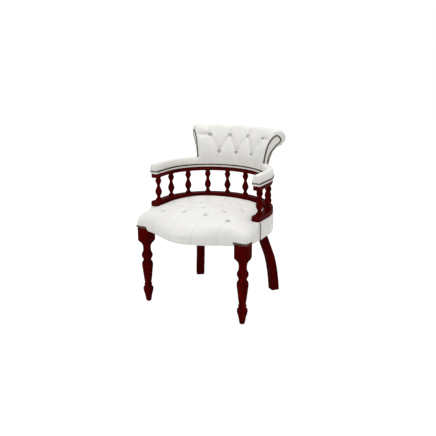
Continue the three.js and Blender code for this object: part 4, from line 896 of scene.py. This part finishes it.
BACK_FRONT = [
    (0, 617), (0, 640), (0, 660), (2, 685), (6, 705), (11, 726), (17, 742), (24, 758), (33, 775), (42, 789),
    (50, 802), (58, 812.5), (68, 819), (81, 821), (98, 818.4), (112, 810), (122, 798), (126, 785),
    (124, 768), (117, 757), (109, 751),
]
BACK_REAR = [
    (38.5, 617), (38.5, 641.7), (41.5, 661.8), (46, 679.8), (51.6, 696.8), (57.5, 714.8), (66, 726.8),
    (81, 739.4), (105.8, 749.8),
]
BACK_BUTTON_TOP_Z = 778.0
BACK_BUTTON_LOW_Z = 695.0
BACK_TOP_ARCS = (-132.0, -44.0, 44.0, 132.0)
BACK_LOW_ARCS = (-88.0, 0.0, 88.0)
BACK_COLUMNS = 230
BACK_ROWS = 281
BACK_ROUND = 13.0
BACK_ARM_ARC = 191.0
BACK_FREE_ARC = 188.5
BACK_WIDENING = 0.053
ARM_TOP_Z = 665.0
BACK_PILLOW = 11.5
BACK_PILLOW_WIDTHS = (20.0, 44.0)
BACK_PILLOW_POWER = 1.35
ROLL_PILLOW = 8.0
BACK_FULLNESS = 2.5
BACK_PITS = [(2.0, 3.0, 14.0), (2.0, 4.5, 4.0)]
BACK_FOLD_SHADE = 0.35
BACK_RIPPLE = 2.0
BACK_RIPPLE_REACH = 11.0
BACK_PUCKER_SEED = 70
FLAP_STAND = 6.0
FLAP_ARCS = (126.0, 140.0)
WEAK_PLEAT_GAP = 22.0
FULL_PLEAT = (1.0, 1.0)
TOP_PLEAT = (1.0, 0.65)
TOP_PLEAT_SPREAD = 1.02
LOW_PLEAT = (0.75, 0.5)
LOW_PLEAT_END = 8.0
END_PLEAT = (0.85, 0.6)
END_PLEAT_ARC = 205.0
NEIGHBOUR_ARC = 50.0
END_FLATNESS = 0.85
REAR_CLEARANCE = 4.2
COVER_ROUND = 3.0
COVER_ROWS = 161
COVER_THICKNESS = 3.6
FACING_LOOP = [
    (13, 663), (14.5, 680), (18, 702), (22.5, 724), (28, 742), (35, 759), (45, 775), (57, 787), (74, 795),
    (88, 786), (95, 773), (88, 761), (78, 754), (66, 741), (53, 726), (43, 712), (37, 694), (33, 677),
    (30.5, 663),
]
FACING_TOP = 8
FACING_STAND = 0.9
FACING_SWELL = 1.4


def back_half_arc(z):
    """Half length of the back at a height: it meets the arms below, and widens a little above."""
    free = BACK_FREE_ARC + BACK_WIDENING * (np.maximum(z, ARM_TOP_Z) - ARM_TOP_Z)
    return free + (BACK_ARM_ARC - free) * (1 - blend_step(z, ARM_TOP_Z - 4, ARM_TOP_Z + 2))


def run_at(line, run, z):
    """Running length at which a line that starts upwards first reaches a height."""
    first = np.argmax(line[:, 1] >= z)
    share = (z - line[first - 1, 1]) / (line[first, 1] - line[first - 1, 1])
    return run[first - 1] + share * (run[first] - run[first - 1])


def end_rows(far, pull, ease, count):
    """Rows along the back: `count` even ones, and extra ones where its ends are rounded over.

    Gives each row's place from -1 to 1, its distance from the end and its drawing in."""
    place = np.concatenate([np.full(len(far), -1.0), np.linspace(-1, 1, count), np.full(len(far), 1.0)])
    return place, both_ends(far, np.full(count, ease)), both_ends(pull, np.zeros(count))


def row_arcs(place, from_end, ease, z):
    """Arcs of those rows for each height: spread up to the rounding, and then by distance."""
    spread_out = place[:, None] * (back_half_arc(z) - ease)
    return spread_out + np.sign(place)[:, None] * (ease - from_end)[:, None]


def back_buttons(top, low):
    """Arc and running height of each button of the back."""
    return [(a, top) for a in BACK_TOP_ARCS] + [(b, low) for b in BACK_LOW_ARCS]


def back_tufts(u, s, top, low, last):
    """How far the leather of the back stands out, and its shadow: pillows, pleats and pits.

    Each pleat is (from, to, its strength at both ends); a weaker one counts as lying further
    away."""
    pleats = []
    for a in BACK_TOP_ARCS:
        pleats.append(((a, top), (a * TOP_PLEAT_SPREAD, last), TOP_PLEAT))
        pleats += [((a, top), (b, low), FULL_PLEAT) for b in BACK_LOW_ARCS if abs(a - b) < NEIGHBOUR_ARC]
    for b in BACK_LOW_ARCS:
        pleats.append(((b, low), (b, LOW_PLEAT_END), LOW_PLEAT))
    for end in (BACK_TOP_ARCS[0], BACK_TOP_ARCS[-1]):
        pleats.append(((end, top), (math.copysign(END_PLEAT_ARC, end), top + 4), END_PLEAT))
    gaps = []
    for a, b, (start, finish) in pleats:
        d, share = segment_distance(u, s, a, b)
        gaps.append(d + (1 - start - (finish - start) * share) * WEAK_PLEAT_GAP)
    gap = np.maximum(soft_least(gaps, VALLEY_EASE), 0)
    buttons = back_buttons(top, low)
    pillow = full_roll(gap / pillow_width(u, s, buttons, *BACK_PILLOW_WIDTHS), BACK_PILLOW_POWER)
    pits, shade, ripple = button_marks(u, s, buttons, gap, BACK_PITS, BACK_FOLD_SHADE,
                                       BACK_PUCKER_SEED, BACK_RIPPLE_REACH)
    flap = blend_step(np.abs(u), *FLAP_ARCS) * full_roll((s - top - 2) / 14.0)
    flap *= 1 - blend_step(s, top + 12, top + 55)
    height = BACK_PILLOW + (ROLL_PILLOW - BACK_PILLOW) * blend_step(s, top + 20, top + 60)
    stand = height * (pillow - 1) + BACK_FULLNESS - pits - BACK_RIPPLE * ripple + FLAP_STAND * flap
    return stand, shade


def build_back(material, button_material):
    """Back: a buttoned front that rolls over the top, closed behind by a plain inner face.

    Rows go along the arc, columns round the section; the ends are rounded over by drawing the
    section in, and then closed across between front and rear."""
    front = curve(BACK_FRONT, BACK_COLUMNS)
    rear = curve(BACK_REAR, BACK_COLUMNS)[::-1]
    run = run_of(front)
    top, low = (run_at(front, run, z) for z in (BACK_BUTTON_TOP_Z, BACK_BUTTON_LOW_Z))
    normal = normals_of(front)
    turn = np.radians(np.linspace(0, 90, 10))[:-1]
    far, pull = BACK_ROUND * (1 - np.cos(turn)), BACK_ROUND * (1 - np.sin(turn))
    place, from_end, draw = end_rows(far, pull, BACK_ROUND, BACK_ROWS)
    arcs = row_arcs(place, from_end, BACK_ROUND, front[:, 1])
    stand, shade = back_tufts(arcs, run, top, low, run[-1])
    fade = blend_step(run, 2, 60) * (1 - blend_step(run, run[-1] - 40, run[-1] - 4))
    edge = blend_step(back_half_arc(front[:, 1]) - np.abs(arcs), 0, 30)
    above_arm = blend_step(front[:, 1], ARM_TOP_Z - 10, ARM_TOP_Z + 7)
    move = stand * fade * (1 - END_FLATNESS * (1 - edge)) - draw[:, None] * above_arm
    face = front + normal * move[..., None]
    front_points = carry(arcs, face[..., 0], np.maximum(face[..., 1], ARM_Z))
    rear_out = rear[:, 0] - np.minimum(draw, COVER_ROUND)[:, None] - REAR_CLEARANCE
    rear_points = carry(row_arcs(place, from_end, BACK_ROUND, rear[:, 1]), rear_out, rear[:, 1])
    piece = skin("buttoned_back", np.concatenate([front_points, rear_points], 1), pairs=True)
    # Painted shade: the buttoning's pits, rings and folds are darkened in the colour, less towards the ends
    store_painted_shade(piece, np.concatenate([shade * edge, np.zeros(rear_points.shape[:2])], 1))
    finish_piece(piece, material, "leather", "back_cushion", fill=0.9)
    build_back_buttons(front, run, normal, top, low, button_material)


def build_back_buttons(front, run, normal, top, low, material):
    """Covered buttons of the back, each facing along the leather's outward direction."""
    places, axes = [], []
    for arc, at in back_buttons(top, low):
        out, z = read_line(at, run, front)
        normal_out, normal_z = read_line(at, run, normal)
        stand = back_tufts(np.array([arc]), np.array([at]), top, low, run[-1])[0][0] + BUTTON_LIFT
        _, _, nx, ny = plan(arc)
        axes.append([nx * normal_out, ny * normal_out, normal_z])
        places.append(carry(arc, out + normal_out * stand, z + normal_z * stand))
    frames = outward_frames(np.array(axes))
    button_piece("back_buttons", (5.2, 3.4), np.array(places), frames, material, "back_cushion")


def build_back_cover(material):
    """Outer cover: a thin leather skin over the rear line, full of plain tension."""
    rear = curve(BACK_REAR, 90)
    section = np.vstack([rear, (rear + normals_of(rear) * COVER_THICKNESS)[::-1]])
    place, from_end, draw = end_rows((0, 0.5, 1.6), (3.0, 1.4, 0.35), COVER_ROUND, COVER_ROWS)
    arcs = row_arcs(place, from_end, COVER_ROUND, section[:, 1])
    outside = np.arange(len(section)) < len(rear)
    points = carry(arcs, section[:, 0] - draw[:, None] * outside, section[:, 1])
    piece = skin("outer_back_cover", points, pairs=True)
    finish_piece(piece, material, "leather", "back_outer_cover")


def build_facing(name, side, material):
    """End panel of the back: a thin pad stretched across between the two halves of its loop."""
    front = curve(FACING_LOOP[:FACING_TOP + 1], 60)[:, None]
    rear = curve(FACING_LOOP[FACING_TOP:][::-1], 60)[:, None]
    across = np.linspace(0, 1, 15)
    over = front + (rear - front) * across[:, None]
    swell = FACING_SWELL * (1 - np.abs(2 * across - 1) ** 4)
    base = back_half_arc(over[..., 1])
    top = carry(side * (base + FACING_STAND + swell), over[..., 0], over[..., 1])
    under = carry(side * (base + 0.05), over[:, ::-1, 0], over[:, ::-1, 1])
    piece = skin("end_panel_" + name, np.concatenate([top, under], 1)[:-1])
    finish_piece(piece, material, "leather", "back_facing_" + name)


# Nails

NAIL_RADIUS = 4.2
NAIL_HEIGHT = 3.0
NAIL_PITCH = 8.5
NAIL_MARGIN = 7.0
ARM_NAIL_MARGIN = 4.5
LOOP_NAIL_STAND = 1.4
LEG_NAIL_STAND = 1.6
LEG_NAILS_FRONT = 51.0
LEG_NAILS_SIDE = 33.0


def nail_row(x, y, z, nx, ny):
    """Nails set evenly along a line: each one's place and its level outward direction."""
    x, y, z, nx, ny = np.broadcast_arrays(x, y, z, nx, ny)
    line = np.stack([x, y, z, nx, ny, np.zeros(len(x))], 1)
    run = run_of(line[:, :3])
    count = max(2, int(round(run[-1] / NAIL_PITCH)) + 1)
    return read_line(np.linspace(0, run[-1], count), run, line)


def plan_row(end, out, sign):
    """Nails along the plan, outside it by `out` and facing outwards or inwards by the sign."""
    arcs = np.linspace(-end, end, 600)
    _, _, nx, ny = plan(arcs)
    return nail_row(*carry(arcs, out, NAIL_Z).T, sign * nx, sign * ny)


def loop_row(side):
    """Nails round the end panel of the back, facing along the plan."""
    loop = curve(FACING_LOOP, 240)
    arcs = side * (back_half_arc(loop[:, 1]) + LOOP_NAIL_STAND)
    _, _, nx, ny = plan(arcs)
    return nail_row(*carry(arcs, *loop.T).T, side * ny, -side * nx)


def side_row(side):
    """Nails up the front edge of the side band."""
    z = np.linspace(HEM_Z + NAIL_MARGIN, RAIL_Z - NAIL_MARGIN, 25)
    x = side * (HALF_WIDTH + BAND_OUT + band_swell(z))
    return nail_row(x, GALLERY_END_Y + NAIL_MARGIN, z, side, 0)


def leg_row(side):
    """Nails over a front leg: along the front, round the hem's corner and along the side."""
    turn = np.radians(np.linspace(-90, 0, 9))
    nx, ny = np.concatenate([[0], np.cos(turn), [1]]), np.concatenate([[-1], np.sin(turn), [0]])
    x = SEAT_SIDE_X - HEM_CORNER + (HEM_CORNER + LEG_NAIL_STAND) * nx
    y = SEAT_CORNER_Y + HEM_CORNER + (HEM_CORNER + LEG_NAIL_STAND) * ny
    x[0] -= LEG_NAILS_FRONT
    y[-1] += LEG_NAILS_SIDE
    return nail_row(side * x, y, CORNER_HEM_Z + 4.0, side * nx, ny)


def nail_piece(name, node, material, *rows):
    """One piece of all the nails of some rows, each with painted shade that darkens it towards its rim."""
    nails = np.concatenate(rows)
    verts, faces = dome(NAIL_RADIUS, NAIL_HEIGHT, 12, 4, 0.3)
    piece = copies(name, verts, faces, nails[:, :3], outward_frames(nails[:, 3:]))
    # Painted shade: 0 at the top of each dome, rising to 1 at its rim
    rim = 1 - np.clip(verts[:, 2] / NAIL_HEIGHT, 0, 1) ** 2
    store_painted_shade(piece, np.tile(rim, len(nails)))
    finish_piece(piece, material, "nails", node)


def build_nails(material):
    """Every row of dome nails: arms and back, loops, seat sides and front legs."""
    end = arc_at(ARM_END_Y) - NAIL_MARGIN
    nail_piece("inner_nails", "nails_inner_line", material, plan_row(end, -0.2, -1))
    ends = HALF_WIDTH + np.array([ARM_NAIL_MARGIN, ARM_WIDTH - ARM_NAIL_MARGIN])
    fronts = [nail_row(side * ends, ARM_END_Y - 0.2, NAIL_Z, 0, -1.0) for side in SIDES.values()]
    nail_piece("outer_nails", "nails_outer_line", material, plan_row(end, ARM_WIDTH + 0.2, 1), *fronts)
    for name, side in SIDES.items():
        nail_piece("loop_nails_" + name, "nails_facing_" + name, material, loop_row(side))
        nail_piece("side_nails_" + name, "nails_side_" + name, material, side_row(side))
        nail_piece("leg_nails_" + name, "nails_leg_" + name, material, leg_row(side))


# Materials

# Painted shade: the leather's colour is darkened towards this in creases, pits and round the buttons, where
# shade falls
PAINTED_CREASE_SHADE = (0.16, 0.16, 0.155)
# Painted shade: each nail's colour is darkened towards this at its rim
PAINTED_RIM_SHADE = (0.006, 0.004, 0.003)
WHITE = (1, 1, 1, 1)
GRAIN_STRETCH = 24.0
PORE_STRETCH = 4.0


def new_material(name):
    """Empty node material, with its node tree and its shader."""
    material = bpy.data.materials.new(name)
    material.use_nodes = True
    return material, material.node_tree, material.node_tree.nodes["Principled BSDF"]


def set_inputs(tree, node, inputs):
    """Sets inputs of a node; one that is given as another node's socket is joined to it."""
    for name, value in inputs.items():
        if isinstance(value, bpy.types.NodeSocket):
            tree.links.new(value, node.inputs[name])
        else:
            node.inputs[name].default_value = value


def add_node(tree, kind, output, inputs, **settings):
    """Adds a node with its inputs and settings, and gives one of its outputs."""
    node = tree.nodes.new("ShaderNode" + kind)
    for name, value in settings.items():
        setattr(node, name, value)
    set_inputs(tree, node, inputs)
    return node.outputs[output]


def coordinates(tree, stretch=(1, 1, 1), uv=False):
    """Object or UV coordinates, stretched."""
    source = add_node(tree, "TexCoord", "UV" if uv else "Object", {})
    return add_node(tree, "Mapping", "Vector", {"Scale": stretch, "Vector": source})


def noise(tree, vector, scale, detail=4.0, rough=0.5, distort=0.0):
    """Noise texture at a scale in cycles per metre."""
    return add_node(tree, "TexNoise", "Fac", {
        "Scale": scale, "Detail": detail, "Roughness": rough, "Distortion": distort, "Vector": vector})


def ramp(tree, value, *stops):
    """Colour ramp over a value, from its stops (position, colour)."""
    colour = add_node(tree, "ValToRGB", "Color", {"Fac": value})
    elements = colour.node.color_ramp.elements
    while len(elements) < len(stops):
        elements.new(0.5)
    for element, (position, tone) in zip(elements, stops):
        element.position = position
        element.color = (*tone, 1)
    return colour


def spread(tree, value, low, high, from_low=0.3, from_high=0.7):
    """Value mapped from one range to another."""
    return add_node(tree, "MapRange", "Result", {
        "From Min": from_low, "From Max": from_high, "To Min": low, "To Max": high, "Value": value})


def bump(tree, height, strength, distance, **under):
    """Bump from a height in metres, over the normal of another bump if one is given."""
    return add_node(tree, "Bump", "Normal", {
        "Strength": strength, "Distance": distance, "Height": height, **under})


def with_painted_shade(tree, colour, dark):
    """Colour darkened by painted shade, the value stored on the surface's points."""
    painted_shade = add_node(tree, "Attribute", "Fac", {}, attribute_name="painted_shade")
    return add_node(tree, "MixRGB", "Color", {"Fac": painted_shade, "Color1": colour, "Color2": (*dark, 1)})


def wood_material(name, colours, uv, coat):
    """Polished mahogany: dark pores and streaks along the grain under a clear coat."""
    _, tree, shader = new_material(name)
    stretch = np.array([1.0 if uv else GRAIN_STRETCH, GRAIN_STRETCH, 1.0])
    streaks = noise(tree, coordinates(tree, stretch, uv), 9.0, 6.0, 0.6, 0.4)
    finer = np.where(stretch > 1, PORE_STRETCH * stretch, stretch)
    pores = noise(tree, coordinates(tree, finer, uv), 30.0, 3.0, 0.6)
    set_inputs(tree, shader, {
        "Base Color": ramp(tree, streaks, *zip((0.36, 0.52, 0.68), colours)),
        "Roughness": spread(tree, pores, 0.26, 0.42),
        "Normal": bump(tree, pores, 0.12, 0.0002),
        "Coat Weight": coat,
        "Coat Roughness": 0.16,
        "Specular IOR Level": 0.0,
    })


def leather_material(name, colour, shade, scale):
    """Off-white leather: fine pebbled grain, faint clouding and a soft sheen."""
    _, tree, shader = new_material(name)
    vector = coordinates(tree)
    tone = ramp(tree, noise(tree, vector, 18.0, 3.0), (0.3, shade), (0.7, colour))
    cells = add_node(tree, "TexVoronoi", "Distance", {"Scale": 900.0 * scale, "Vector": vector},
                     feature="DISTANCE_TO_EDGE")
    grain = bump(tree, spread(tree, cells, 0.0, 1.0, 0.0, 0.18), 0.35, 0.00015)
    soft = noise(tree, vector, 60.0, 4.0, 0.6)
    set_inputs(tree, shader, {
        # painted shade: creases, pits and the rings round the buttons are darkened in the colour
        "Base Color": with_painted_shade(tree, tone, PAINTED_CREASE_SHADE),
        "Normal": bump(tree, soft, 0.5, 0.0012, Normal=grain),
        "Roughness": spread(tree, soft, 0.40, 0.52),
        "Specular IOR Level": 0.45,
    })


def nail_material():
    """Antique bronze: brighter rubbed patches and browner ones at random, and painted shade that darkens
    each nail towards its rim.
    """
    _, tree, shader = new_material("antique_bronze")
    patches = noise(tree, coordinates(tree), 300.0, 3.0)
    bronze = ramp(tree, patches, (0.35, (0.035, 0.020, 0.010)), (0.65, (0.20, 0.125, 0.065)))
    set_inputs(tree, shader, {
        # painted shade: darker towards each nail's rim
        "Base Color": with_painted_shade(tree, bronze, PAINTED_RIM_SHADE),
        "Metallic": 1.0,
        "Roughness": spread(tree, patches, 0.34, 0.50),
    })


def plain_wood_material():
    """Unfinished beech of the hidden frame, with its flecks."""
    material, tree, shader = new_material("plain_beech")
    flecks = noise(tree, coordinates(tree, (6, 6, 60)), 6.0, 5.0, 0.6)
    set_inputs(tree, shader, {
        "Base Color": ramp(tree, flecks, (0.35, (0.42, 0.25, 0.13)), (0.65, (0.56, 0.36, 0.2))),
        "Roughness": 0.65,
        "Normal": bump(tree, flecks, 0.2, 0.0004),
    })
    return material


def woven_material(name, warp, weft, pitch, depth):
    """Plain weave: two crossed waves that take turns on top, with a coloured yarn each."""
    material, tree, shader = new_material(name)
    vector = coordinates(tree)
    waves = [add_node(tree, "TexWave", "Fac", {
        "Scale": 1 / (2 * math.pi * pitch), "Distortion": 0.6, "Vector": vector,
    }, bands_direction=direction) for direction in ("X", "Y")]
    high = add_node(tree, "Math", "Value", dict(enumerate(waves)), operation="MULTIPLY")
    set_inputs(tree, shader, {
        "Base Color": ramp(tree, waves[0], (0.2, warp), (0.8, weft)),
        "Normal": bump(tree, high, 0.7, depth),
        "Roughness": 0.9,
    })
    return material


def steel_material():
    """Zinc-plated steel of the bolts."""
    material, tree, shader = new_material("zinc_steel")
    spangle = noise(tree, coordinates(tree), 250.0, 2.0)
    set_inputs(tree, shader, {
        "Base Color": ramp(tree, spangle, (0.35, (0.42, 0.43, 0.45)), (0.65, (0.6, 0.61, 0.62))),
        "Metallic": 1.0,
        "Roughness": spread(tree, spangle, 0.3, 0.45),
    })
    return material


def dress_frame(beech, jute, cloth, steel):
    """Gives the hidden frame's own nodes their finishes, by the start of their names."""
    wooden = ("seat_rail_", "corner_block_", "packing_rail", "arm_board", "back_shell", "scroll_rail")
    bolts = ("rear_leg_bolt_", "gallery_bolt_")
    for starts, finish in ((wooden, beech), ("webbing_", jute), ("dust_cover", cloth), (bolts, steel)):
        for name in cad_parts:
            piece = bpy.data.objects.get(name)
            if piece and name.startswith(starts):
                for slot in piece.material_slots:
                    slot.material = finish


# Stage

CAMERA_PLACE = (1303.5, -2293.59, 1175.46)
CAMERA_AZIMUTH = 29.233
CAMERA_PITCH = 16.232
CAMERA_LENS = 47.09
LAMP_TARGET = (0, 0, 0.5)
LAMPS = (
    ("key", (-0.6, -2.5, 2.35), 0.7, 1.0),
    ("overhead", (0.1, 0.45, 5.0), 2.4, 6.4),
    ("side", (2.5, -0.6, 1.5), 0.8, 0.15),
)
FLOOR_GLOW = 1.26


def aim(item, place, back):
    """Adds a camera or a lamp at a place in metres, its back turned to a direction."""
    back = np.array(back) / np.linalg.norm(back)
    right = np.cross([0, 0, 1.0], back)
    right /= np.linalg.norm(right)
    turn = Matrix(np.stack([right, np.cross(back, right), back], 1).tolist()).to_4x4()
    item.matrix_world = Matrix.Translation(place) @ turn
    bpy.context.scene.collection.objects.link(item)


def add_camera():
    """Camera at the photograph's angle, from its azimuth and its pitch downwards."""
    azimuth, pitch = math.radians(CAMERA_AZIMUTH), math.radians(CAMERA_PITCH)
    data = bpy.data.cameras.new("photo_camera")
    data.lens = CAMERA_LENS
    data.sensor_width = 36.0
    data.clip_end = 50.0
    camera = bpy.data.objects.new("photo_camera", data)
    level = math.cos(pitch)
    back = (math.sin(azimuth) * level, -math.cos(azimuth) * level, math.sin(pitch))
    aim(camera, [v * MM for v in CAMERA_PLACE], back)
    bpy.context.scene.camera = camera


def add_lamp(name, place, size, power):
    """Soft square lamp that points at the chair, its place in metres."""
    data = bpy.data.lights.new(name, "AREA")
    data.size = size
    data.energy = power
    aim(bpy.data.objects.new(name, data), place, np.subtract(place, LAMP_TARGET))


def seen_directly(tree):
    """1 for what the camera or a reflection sees, 0 for the light that falls on the chair."""
    path = tree.nodes.new("ShaderNodeLightPath").outputs
    rays = {0: path["Is Camera Ray"], 1: path["Is Glossy Ray"]}
    return add_node(tree, "Math", "Value", rays, operation="MAXIMUM")


def floor_material(shadow):
    """White floor that keeps a share of the light and shadow on it for the camera."""
    material, tree, shader = new_material("studio_floor")
    set_inputs(tree, shader, {"Base Color": (0.9, 0.9, 0.9, 1), "Roughness": 0.9})
    glow = add_node(tree, "Emission", "Emission", {"Color": WHITE, "Strength": FLOOR_GLOW})
    share = add_node(tree, "Math", "Value", {0: seen_directly(tree), 1: 1 - shadow}, operation="MULTIPLY")
    mix = add_node(tree, "MixShader", "Shader", {"Fac": share, 1: shader.outputs["BSDF"], 2: glow})
    tree.links.new(mix, tree.nodes["Material Output"].inputs["Surface"])
    return material


def add_floor(shadow):
    """Round floor far larger than the view, at the height the chair stands on."""
    radii = np.array([[1500.0], [9000.0]])
    points = rings(0, 0, radii, -0.5, full_turn(96))
    low = points[::-1] - [0, 0, 20.0]
    floor = skin("studio_floor", np.concatenate([points, low]))
    floor.data.materials.append(floor_material(shadow))


def set_world(ambient):
    """White world: full white to the camera and in reflections, dimmer as light."""
    world = bpy.data.worlds.new("studio_world")
    world.use_nodes = True
    tree = world.node_tree
    level = spread(tree, seen_directly(tree), ambient, 1.0, 0.0, 1.0)
    set_inputs(tree, tree.nodes["Background"], {"Color": WHITE, "Strength": level})
    bpy.context.scene.world = world


# Add-on

def colour_property(name, description, default):
    """Colour property, its default in linear values."""
    return FloatVectorProperty(name=name, description=description, default=default, size=3,
                               subtype="COLOR", min=0, max=1)


class ChairFinishes(bpy.types.PropertyGroup):
    """Colours that a user would change."""
    leather: colour_property("Leather", "Colour of the leather where it is lit", (0.84, 0.83, 0.795))
    leather_shade: colour_property("Leather clouding", "Slightly darker patches", (0.815, 0.803, 0.765))
    buttons: colour_property("Buttons", "Colour of the covered buttons", (0.70, 0.70, 0.69))
    wood_deep: colour_property("Wood, deep", "Darkest streaks of the mahogany", (0.022, 0.0002, 0.0001))
    wood_middle: colour_property("Wood, middle", "Middle tone of the mahogany", (0.075, 0.0004, 0.0002))
    wood_bright: colour_property("Wood, bright", "Lightest streaks of the mahogany", (0.155, 0.003, 0.0008))


class ChairStage(bpy.types.PropertyGroup):
    """Light and floor."""
    ambient: FloatProperty(name="Ambient", description="Strength of the world's light", default=0.53,
                           min=0, max=1)
    key: FloatProperty(name="Key light", description="Power of the front lamp", default=15.0, unit="POWER")
    shadow: FloatProperty(name="Shadow", description="Share of the shadow that the floor shows",
                          default=0.25, min=0, max=1, subtype="FACTOR")


def finishes():
    """The materials of the visible pieces, made once and then found by name."""
    tones = bpy.context.scene.chair_finishes
    made = bpy.data.materials
    if "mahogany_upright" not in made:
        woods = [tuple(tone) for tone in (tones.wood_deep, tones.wood_middle, tones.wood_bright)]
        wood_material("mahogany_upright", woods, False, 0.02)
        wood_material("mahogany_bent", woods, True, 0.07)
        leather_material("white_leather", tuple(tones.leather), tuple(tones.leather_shade), 1.0)
        button = tuple(tones.buttons)
        leather_material("button_leather", button, tuple(0.92 * c for c in button), 1.3)
        nail_material()
    return made


class CHAIR_OT_legs(bpy.types.Operator):
    """Make the two turned front legs and the two sabre rear legs"""
    bl_idname = "chair.legs"
    bl_label = "Legs"

    def execute(self, context):
        wood = finishes()["mahogany_upright"]
        for name, side in SIDES.items():
            build_front_leg(name, side, wood)
            build_rear_leg(name, side, wood)
        return {"FINISHED"}


class CHAIR_OT_gallery(bpy.types.Operator):
    """Make the two horseshoe rails and the ten spindles between them"""
    bl_idname = "chair.gallery"
    bl_label = "Gallery"

    def execute(self, context):
        build_rails(finishes()["mahogany_bent"])
        for number in range(1, SPINDLES + 1):
            build_spindle(number, finishes()["mahogany_upright"])
        return {"FINISHED"}


class CHAIR_OT_seat(bpy.types.Operator):
    """Make the buttoned seat, its buttons and the band round the seat frame"""
    bl_idname = "chair.seat"
    bl_label = "Seat"

    def execute(self, context):
        build_seat(finishes()["white_leather"], finishes()["button_leather"])
        build_band(finishes()["white_leather"])
        return {"FINISHED"}


class CHAIR_OT_arms(bpy.types.Operator):
    """Make the two padded arms"""
    bl_idname = "chair.arms"
    bl_label = "Arms"

    def execute(self, context):
        for name, side in SIDES.items():
            build_arm(name, side, finishes()["white_leather"])
        return {"FINISHED"}


class CHAIR_OT_back(bpy.types.Operator):
    """Make the buttoned back with its roll, its outer cover and its end panels"""
    bl_idname = "chair.back"
    bl_label = "Back"

    def execute(self, context):
        leather = finishes()["white_leather"]
        build_back(leather, finishes()["button_leather"])
        build_back_cover(leather)
        for name, side in SIDES.items():
            build_facing(name, side, leather)
        return {"FINISHED"}


class CHAIR_OT_nails(bpy.types.Operator):
    """Make every row of dome nails"""
    bl_idname = "chair.nails"
    bl_label = "Nails"

    def execute(self, context):
        build_nails(finishes()["antique_bronze"])
        return {"FINISHED"}


class CHAIR_OT_hidden_frame(bpy.types.Operator):
    """Finish the hidden frame, the webbing, the dust cover and the bolts"""
    bl_idname = "chair.hidden_frame"
    bl_label = "Hidden frame"

    def execute(self, context):
        jute = woven_material("jute_webbing", (0.42, 0.30, 0.16), (0.30, 0.20, 0.10), 0.0022, 0.0006)
        cloth = woven_material("black_cloth", (0.012, 0.012, 0.013), (0.02, 0.02, 0.021), 0.0009, 0.0002)
        dress_frame(plain_wood_material(), jute, cloth, steel_material())
        return {"FINISHED"}


class CHAIR_OT_stage(bpy.types.Operator):
    """Make the camera, the floor, the lamps and the world"""
    bl_idname = "chair.stage"
    bl_label = "Stage"

    def execute(self, context):
        stage = context.scene.chair_stage
        add_camera()
        add_floor(stage.shadow)
        set_world(stage.ambient)
        for name, place, size, share in LAMPS:
            add_lamp(name, place, size, stage.key * share)
        context.scene.view_settings.view_transform = "Standard"
        return {"FINISHED"}


STEPS = (CHAIR_OT_legs, CHAIR_OT_gallery, CHAIR_OT_seat, CHAIR_OT_arms, CHAIR_OT_back, CHAIR_OT_nails,
         CHAIR_OT_hidden_frame, CHAIR_OT_stage)


class CHAIR_PT_panel(bpy.types.Panel):
    """Sidebar panel that lists the finishes, the light and each step"""
    bl_idname = "CHAIR_PT_panel"
    bl_label = "Captains chair"
    bl_space_type = "VIEW_3D"
    bl_region_type = "UI"
    bl_category = "Chair"

    def draw(self, context):
        for group in (context.scene.chair_finishes, context.scene.chair_stage):
            for name in group.__annotations__:
                self.layout.prop(group, name)
        for step in STEPS:
            self.layout.operator(step.bl_idname)


CLASSES = (ChairFinishes, ChairStage, *STEPS, CHAIR_PT_panel)


def register():
    """Registers the classes and hangs the two groups on the scene."""
    for item in CLASSES:
        bpy.utils.register_class(item)
    bpy.types.Scene.chair_finishes = PointerProperty(type=ChairFinishes)
    bpy.types.Scene.chair_stage = PointerProperty(type=ChairStage)


def unregister():
    """Takes the groups and the classes away again."""
    del bpy.types.Scene.chair_stage
    del bpy.types.Scene.chair_finishes
    for item in reversed(CLASSES):
        bpy.utils.unregister_class(item)


def main():
    """Runs every step in order."""
    register()
    for step in STEPS:
        group, name = step.bl_idname.split(".")
        getattr(getattr(bpy.ops, group), name)()


if __name__ == "__main__":
    main()
